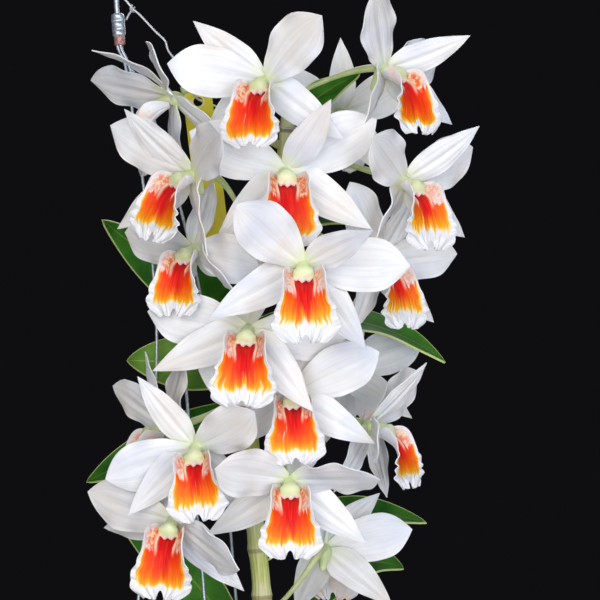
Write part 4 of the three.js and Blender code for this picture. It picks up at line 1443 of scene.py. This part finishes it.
@dataclass(frozen=True)
class Bark:
    """The pot's filling: graded bark chips on a low mound, in mm.

    Attributes:
        pot: The pot that it fills.
        chips: How many loose chips lie on the mound.
        clearance: How far the middles of the chips keep from the wall.
        size_spans: The least and greatest half length, half width and half thickness of a chip.
        rings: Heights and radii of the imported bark, from the pot's floor to the mound's top.
    """

    pot: Pot
    chips: int = 96
    clearance: float = 11.0
    size_spans: tuple[tuple[float, float], ...] = ((6.0, 10.0), (3.5, 6.0), (1.8, 3.4))
    rings: tuple[tuple[float, float], ...] = (
        (-597.4, 27.0), (-594.4, 31.5), (-560, 37.4), (-530, 43.6), (-521.5, 45.0), (-519, 41.0),
    )  # fmt: skip

    def height(self, reach: float) -> float:
        """Gives the mound's height at a distance from the pot's axis."""
        radius = self.pot.rim - self.pot.wall
        share = min(1.0, reach / radius)
        return self.pot.rim_z - self.pot.bark_drop + self.pot.bark_mound * (1 - share**2)

    def mound(self, finish: bpy.types.Material) -> bpy.types.Object:
        """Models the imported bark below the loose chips, down to the pot's floor."""
        line = np.array([[self.pot.centre, 0, z] for z, _ in self.rings])
        radii = np.array([radius for _, radius in self.rings])
        return round_bar("mound", line, radii, finish, 48)

    def chip(self, draw: random.Random, finish: bpy.types.Material) -> bpy.types.Object:
        """Models one flaky chip and lays it on the mound."""
        pot = self.pot
        reach = (pot.rim - pot.wall - self.clearance) * math.sqrt(draw.random())
        turn = draw.uniform(0, 2 * math.pi)
        deselect()
        bpy.ops.mesh.primitive_cube_add(size=2)
        chip = bpy.context.object
        apply_modifier(chip, "SUBSURF", levels=2, subdivision_type="SIMPLE")
        size = [draw.uniform(*span) for span in self.size_spans]
        corner = [draw.uniform(-0.25, 0.25) for _ in range(12)]
        spin = Matrix.Rotation(draw.uniform(0, 6.28), 4, "Z")
        spin = spin @ Matrix.Rotation(draw.uniform(-0.35, 0.35), 4, "X")
        spin = spin @ Matrix.Rotation(draw.uniform(-0.3, 0.3), 4, "Y")
        spot = Vector((pot.centre + reach * math.cos(turn), reach * math.sin(turn), self.height(reach) - 0.5))
        for vertex in chip.data.vertices:
            x, y, z = vertex.co
            skew = corner[0] * y + corner[1] * z + corner[2] * x * y
            rough = [draw.uniform(-0.08, 0.08) for _ in range(3)]
            point = Vector((
                size[0] * (x * (1 - 0.12 * abs(y)) + skew * 0.5 + rough[0]),
                size[1] * (y * (1 + corner[3] * x) + corner[4] * z + rough[1]),
                size[2] * (z + corner[5] * x + corner[6] * y + rough[2]),
            ))  # fmt: skip
            vertex.co = (spin @ point + spot) * MM
        chip.data.materials.append(finish)
        apply_modifier(chip, "BEVEL", width=0.5 * MM, segments=1, limit_method="ANGLE")
        shade(chip, 45)
        return chip

    def build(self, finish: bpy.types.Material) -> None:
        """Builds the mound with its chips as one piece."""
        draw = random.Random(41)
        pieces = [self.mound(finish)] + [self.chip(draw, finish) for _ in range(self.chips)]
        settle(join(pieces, "bark_chips"), "bark", "bark")


# Hanger and tag


@dataclass(frozen=True)
class Hanger:
    """The wire hanger: hook, crimped sleeve and three wires down to the pot, in mm.

    Attributes:
        pot: The pot that it carries.
        wire: Radius of the three wires.
        hook_wire: Radius of the hook's wire.
        hook_inner: Radius of the round seat inside the hook.
        hook_angles: The first angle of the hook's bend, the one it stops short of and its step, in degrees.
        shank: The points of the hook's wire below its bend.
        sleeve_x: Where the sleeve's top is to the right of the hook.
        sleeve_top: Height of the sleeve's top.
        sleeve_tilt: How far the sleeve leans, in radians.
        sleeve_radius: Radius of the sleeve.
        sleeve_length: Length of the sleeve.
        dents: How far the crimped dents are below the sleeve's top.
        dent_reach: How far a dent spreads along the sleeve.
        collar_radius: Radius of the collar.
        collar_length: Length of the collar.
        runs: For each wire, the angle of its hole in degrees and the points that it passes on its way.
    """

    pot: Pot
    wire: float = 0.75
    hook_wire: float = 1.2
    hook_inner: float = 10.0
    hook_angles: tuple[int, int, int] = (-60, 201, 20)
    shank: tuple[Point, ...] = ((2.2, 0, -42.3), (1.6, 0, -33), (2.2, 0, -25.5))
    sleeve_x: float = 2.2
    sleeve_top: float = -40.3
    sleeve_tilt: float = 0.078
    sleeve_radius: float = 3.1
    sleeve_length: float = 10.8
    dents: tuple[float, ...] = (3.4, 7.4)
    dent_reach: float = 0.95
    collar_radius: float = 2.6
    collar_length: float = 4.3
    runs: tuple[tuple[float, tuple[Point, ...]], ...] = (
        (180, ((5.4, 1, -63), (7.9, 3, -79), (10, 4, -94), (14, 4, -120), (20, 1, -173), (21, 0, -197),
               (20, 0, -228), (12.5, 0, -317), (5, 0, -430))),
        (60, ((6.9, 1.5, -63), (15, 6, -79), (37, 12, -154), (49, 20, -226), (58, 27, -322), (64, 33, -430))),
        (300, ((6.9, -0.5, -63), (12, 1, -79), (14.8, 3, -94), (25, 2, -139), (33, -4, -190),
               (36.3, -9, -228), (42.7, -10, -300), (52, -22, -400))),
    )  # fmt: skip

    def wire_line(self, angle: float, middle: tuple[Point, ...]) -> list[Point]:
        """Lists one wire's points from inside the sleeve to the end that is hooked in the pot's hole."""
        turn = math.radians(angle)
        # Inside the sleeve, the wires run 1 mm from its axis
        top = [(2.7 + math.cos(turn), math.sin(turn), -46.0), (3.4 + math.cos(turn), math.sin(turn), -56.5)]
        hole = self.pot.rim_z - self.pot.hole_drop
        # Radii and heights: down inside the wall, out through the hole and up
        ends = (
            (42.6, hole + 12), (43.0, hole + 3), (45.2, hole + 0.1),
            (55, hole), (56.9, hole + 1.2), (57.2, hole + 5),
        )  # fmt: skip
        foot = [(self.pot.centre + r * math.cos(turn), r * math.sin(turn), z) for r, z in ends]
        return top + list(middle) + foot

    def build_wires(self, zinc: bpy.types.Material) -> None:
        """Builds the three hanger wires."""
        for number, (angle, middle) in enumerate(self.runs, start=1):
            line = smooth_line(self.wire_line(angle, middle), 10)
            wire = round_bar(f"drawn_wire_{number}", line, self.wire, zinc)
            settle(wire, "galvanised_wire", f"hanger_wire_{number}")

    def down(self, distance: float) -> Array:
        """Gives the point on the sleeve's leaning axis at a distance below its top."""
        lean = np.array([math.sin(self.sleeve_tilt), 0, -math.cos(self.sleeve_tilt)])
        return np.array([self.sleeve_x, 0, self.sleeve_top]) + lean * distance

    def build_hook(self, zinc: bpy.types.Material, collar: bpy.types.Material) -> None:
        """Builds the hook with its sleeve and collar as one piece."""
        radius = self.hook_inner + self.hook_wire
        turns = [math.radians(angle) for angle in range(*self.hook_angles)]
        arc = [(radius * math.cos(a), 0, radius * math.sin(a) - self.hook_inner) for a in turns]
        line = smooth_line([*self.shank, *arc], 6)
        radii = np.full(len(line), self.hook_wire)
        radii[-2:] *= (0.92, 0.6)
        pieces = [round_bar("hook", line, radii, zinc, 16), self.sleeve(zinc), self.band(collar)]
        settle(join(pieces, "crimped_hook"), "galvanised_wire", "hanger_hook")

    def sleeve(self, zinc: bpy.types.Material) -> bpy.types.Object:
        """Models the sleeve with two crimped dents in its front and back."""
        distances = np.concatenate([[0, 0.25, 0.7], np.linspace(1.2, self.sleeve_length - 0.7, 22)])
        distances = np.concatenate([distances, [self.sleeve_length - 0.3, self.sleeve_length]])
        line = np.array([self.down(d) for d in distances])
        radii = np.full(len(line), self.sleeve_radius)
        radii[:3] = self.sleeve_radius - np.array([0.9, 0.35, 0.05])
        radii[-2:] = self.sleeve_radius - np.array([0.15, 0.7])
        sleeve = round_bar("sleeve", line, radii, zinc, 32)
        axis = self.down(0)
        for vertex in sleeve.data.vertices:
            x, y, z = (c / MM for c in vertex.co)
            along = axis[2] - z
            dent = sum(math.exp(-(((along - place) / self.dent_reach) ** 2)) for place in self.dents)
            centre = self.down(along)
            narrow = 1 - 0.24 * dent
            wide = 1 + 0.05 * dent
            vertex.co = ((centre[0] + (x - centre[0]) * wide) * MM, y * narrow * MM, vertex.co.z)
        return sleeve

    def band(self, collar: bpy.types.Material) -> bpy.types.Object:
        """Models the soft collar below the sleeve, rolled at both ends."""
        shares = np.array([0.0, 0.06, 0.2, 0.5, 0.8, 0.94, 1.0])
        start, end = self.sleeve_length - 0.2, self.sleeve_length + self.collar_length
        line = np.array([self.down(start + share * (end - start)) for share in shares])
        radii = self.collar_radius * np.array([0.88, 0.98, 1.03, 0.99, 1.03, 0.98, 0.85])
        return round_bar("collar", line, radii, collar, 32)


TIE_WIRE: list[Point] = [
    (1.75, -2.2, -27), (3.9, -0.7, -27.6), (3.1, 1.7, -28.3), (0.7, 2, -29), (-0.4, -0.4, -29.7),
    (1, -2.1, -30.4), (3.4, -2.2, -31.6), (6.2, -2, -34), (9.6, -1, -38), (12.5, -1, -40.5),
    (20.6, -1, -49), (25, 0, -53.3), (26.4, 0, -57.6), (30.2, 1, -63), (34.6, 2, -70.6),
    (39.6, 3, -79.8), (42, 8, -81.3), (50, 10, -84), (66, 9, -90), (76, 8, -93), (80.7, 5.5, -94),
    (84.8, 6.7, -94.3), (88.2, 4.4, -94.6), (88.5, 0.4, -94.9), (85.6, -2.5, -95.2), (81.6, -2.2, -95.5),
]  # fmt: skip
TIE_TAIL: list[Point] = [(9.6, -1, -38), (8, -2, -40.5), (6.7, -3, -43.5)]
TIE_RADIUS = 0.5
TIE_KNOT: Point = (9.4, -1.2, -37.9)
TIE_EYELET: Point = (38.4, 2.2, -74.6)


def build_tie_wire(finish: bpy.types.Material) -> None:
    """Builds the thin tie wire with its knot and the eyelet that it passes through."""
    main = round_bar("tie", smooth_line(TIE_WIRE), TIE_RADIUS, finish, 10)
    tail = round_bar("tail", smooth_line(TIE_TAIL), TIE_RADIUS, finish, 10)
    turns = np.linspace(0, 4 * math.pi, 40)
    along = unit(np.array([1.0, 0, -0.9]))
    across = np.array([0, 1.0, 0])
    other = np.cross(along, across)
    coil = (
        np.array(TIE_KNOT)
        + along * ((turns / turns[-1] - 0.5) * 3.0)[:, None]
        + across * (np.cos(turns) * 0.95)[:, None]
        + other * (np.sin(turns) * 0.95)[:, None]
    )
    knot = round_bar("knot", coil, TIE_RADIUS * 0.9, finish, 10)
    around = np.linspace(0, 2 * math.pi, 25)
    ring = 1.7 * np.stack([np.cos(around), np.zeros_like(around), np.sin(around)], axis=1)
    eyelet = round_bar("eyelet", np.array(TIE_EYELET) + ring, TIE_RADIUS * 0.9, finish, 10)
    settle(join([main, tail, knot, eyelet], "knotted_tie_wire"), "tie_wire", "tie_wire")


def build_tag(finish: bpy.types.Material, rim_painted_highlight: bpy.types.Material) -> None:
    """Builds the bare tag: a thin rounded plate with a moulded rim round its hole, the rim painted paler as a
    highlight.

    Args:
        finish: The plate's finish.
        rim_painted_highlight: The rim's finish, a paler yellow that is a painted highlight.
    """
    width, length, thickness, corner, hole, drop = 14.0, 75.0, 0.7, 3.0, 2.2, 5.0
    deselect()
    bpy.ops.mesh.primitive_circle_add(vertices=64, radius=1, fill_type="NGON")
    tag = bpy.context.object
    tag.name = "bare_tag"
    outline: list[tuple[float, float]] = []
    for x_side, z_side, first in ((1, 0, 0), (-1, 0, 90), (-1, -1, 180), (1, -1, 270)):
        for step in range(16):
            turn = math.radians(first + 90 * step / 15)
            x = x_side * (width / 2 - corner) + corner * math.cos(turn)
            z = (-corner if z_side == 0 else -length + corner) + corner * math.sin(turn)
            outline.append((x, z))
    for vertex, (x, z) in zip(tag.data.vertices, outline):
        vertex.co = (x * MM, 0, z * MM)
    apply_modifier(tag, "SOLIDIFY", thickness=thickness * MM, offset=0.0)
    deselect()
    bpy.ops.mesh.primitive_torus_add(
        major_radius=(hole + 0.6) * MM, minor_radius=0.55 * MM, major_segments=32, minor_segments=10,
        location=(0, 0, -drop * MM), rotation=(math.pi / 2, 0, 0),
    )  # fmt: skip
    rim = bpy.context.object
    deselect()
    bpy.ops.mesh.primitive_cylinder_add(
        vertices=32, radius=hole * MM, depth=4 * MM, location=(0, 0, -drop * MM), rotation=(math.pi / 2, 0, 0)
    )
    drill = bpy.context.object
    apply_modifier(tag, "BOOLEAN", object=drill, operation="DIFFERENCE", solver="EXACT")
    bpy.data.objects.remove(drill)
    apply_modifier(tag, "BEVEL", width=0.15 * MM, segments=2, limit_method="ANGLE")
    take(rim)
    bpy.ops.object.transform_apply(location=True, rotation=True, scale=True)
    tag.data.materials.clear()
    tag.data.materials.append(finish)
    # The rim's paler yellow is a painted highlight
    rim.data.materials.append(rim_painted_highlight)
    tag = join([tag, rim], "bare_tag")
    lean = Matrix.Translation(Vector((40, 5, -77)) * MM) @ Matrix.Rotation(math.radians(-7), 4, "Y")
    for vertex in tag.data.vertices:
        vertex.co.y += 0.9 * math.sin(-vertex.co.z / (length * MM) * math.pi) * MM
        vertex.co = lean @ vertex.co
    shade(tag, 40)
    settle(tag, "tag", "tag")


# Studio


@dataclass(frozen=True)
class AreaLight:
    """A soft square light, in metres and watts.

    Attributes:
        name: What it is for.
        place: Where it stands.
        aim: What it looks at.
        size: Length of its sides.
        power: How strong it is.
        colour: Its colour in sRGB hex.
    """

    name: str
    place: Point
    aim: Point
    size: float
    power: float
    colour: str = "#ffffff"

    def build(self) -> None:
        """Adds the light."""
        lamp = bpy.data.lights.new(self.name, "AREA")
        lamp.shape = "SQUARE"
        lamp.size = self.size
        lamp.energy = self.power
        lamp.color = linear(self.colour)[:3]
        obj = bpy.data.objects.new(self.name, lamp)
        obj.location = self.place
        obj.rotation_euler = (Vector(self.aim) - Vector(self.place)).to_track_quat("-Z", "Y").to_euler()
        bpy.context.collection.objects.link(obj)


LIGHTS = [
    AreaLight("key", (-0.35, -1.75, 0.5), (0.09, 0, -0.2), 1.2, 18.0, "#fffaf4"),
    AreaLight("fill", (1.0, -1.5, -0.1), (0.09, 0, -0.25), 1.2, 16.5, "#f2f5ff"),
    AreaLight("low", (-0.1, -1.4, -0.55), (0.09, 0, -0.25), 0.9, 7.5, "#ffffff"),
    AreaLight("back", (0.2, 0.9, 0.5), (0.09, 0, -0.25), 1.0, 11.0, "#f4f7ff"),
]


@dataclass(frozen=True)
class Studio:
    """The camera, the backdrop's light and the floor, in metres.

    Attributes:
        eye: Where the camera stands, looking along +Y.
        half_view: Half of the picture's width at 1 m from the camera.
        floor_z: Height of the floor, just below the pot.
        floor_radius: Radius of the floor.
        backdrop: Colour of the backdrop in sRGB hex.
    """

    eye: Point = (0.0898, -1.0, -0.1776)
    half_view: float = 0.144
    floor_z: float = -0.6045
    floor_radius: float = 1.2
    backdrop: str = "#0f0f11"

    def build(self) -> None:
        """Adds the camera, world, floor and lights."""
        camera = bpy.data.cameras.new("camera")
        camera.angle = 2 * math.atan(self.half_view)
        obj = bpy.data.objects.new("camera", camera)
        obj.location = self.eye
        obj.rotation_euler = (math.pi / 2, 0, 0)
        bpy.context.collection.objects.link(obj)
        bpy.context.scene.camera = obj
        world = bpy.data.worlds.new("studio")
        world.use_nodes = True
        world.node_tree.nodes["Background"].inputs["Color"].default_value = linear(self.backdrop)
        world.node_tree.nodes["Background"].inputs["Strength"].default_value = 1.0
        bpy.context.scene.world = world
        # Plain sRGB keeps the lips' reds and yellows as saturated as they are
        bpy.context.scene.view_settings.view_transform = "Standard"
        self.build_floor()
        for light in LIGHTS:
            light.build()

    def build_floor(self) -> None:
        """Adds the round floor that the pot stands on."""
        deselect()
        bpy.ops.mesh.primitive_circle_add(
            vertices=128, radius=self.floor_radius, fill_type="NGON", location=(0.045, 0, self.floor_z)
        )
        floor = bpy.context.object
        floor.name = "floor"
        g = Graph("matte_floor", 0.9, "#a9a9a9")
        grain = g.noise(g.place, 400.0, 2.0)
        g.feed("Base Color", g.ramp(grain, (0.3, "#a3a3a3"), (0.7, "#afafaf")))
        floor.data.materials.append(g.material)


def main() -> None:
    logging.basicConfig(level=logging.INFO, format="%(message)s")
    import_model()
    Studio().build()
    waxy = WaxyTepal().build()
    column = Tissue("column_tissue", "#e4edbe", "#cfe0a0").build()
    frilled = FrilledLip().build()
    for bloom in BLOOMS:
        bloom.build_tepals(waxy, column)
        bloom.build_lip(frilled)
    sheathed = SheathedCane().build()
    stalk = Tissue("stalk_tissue", "#d3dda6", "#adc07c", 0.42, 9.0).build()
    FloweringCane("flowering_cane", FLOWER_CANE).build_with_stalks(sheathed, stalk)
    for number, points in enumerate(BACK_CANES, start=1):
        Cane(f"back_cane_{number}", points).build(sheathed)
    dark = LeatheryLeaf().build()
    pale = LeatheryLeaf("young_leaf", "#4a7a2a", "#74a043", "#a9c26a", "#cdd68e").build()
    for leaf in LEAVES:
        leaf.build(dark, pale)
    pot = Pot()
    pot.build(FiredClay().build())
    Bark(pot).build(PineBark().build())
    zinc = DrawnMetal("galvanised_steel", "#d3dbe6", "#a9b4c4", 0.42, 0.75).build()
    collar = DrawnMetal("copper_ferrule", "#c99f9c", "#8c5c58", 0.5, 0.4).build()
    hanger = Hanger(pot)
    hanger.build_wires(zinc)
    hanger.build_hook(zinc, collar)
    build_tie_wire(DrawnMetal("tie_wire_steel", "#dfe2e6", "#b9bdc4", 0.38, 0.6).build())
    # The tag rim's paler yellow is a painted highlight
    build_tag(MouldedTag().build(), MouldedTag("tag_rim_painted_highlight", "#f8f2b0", "#efe27a").build())
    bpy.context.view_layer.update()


if __name__ == "__main__":
    main()
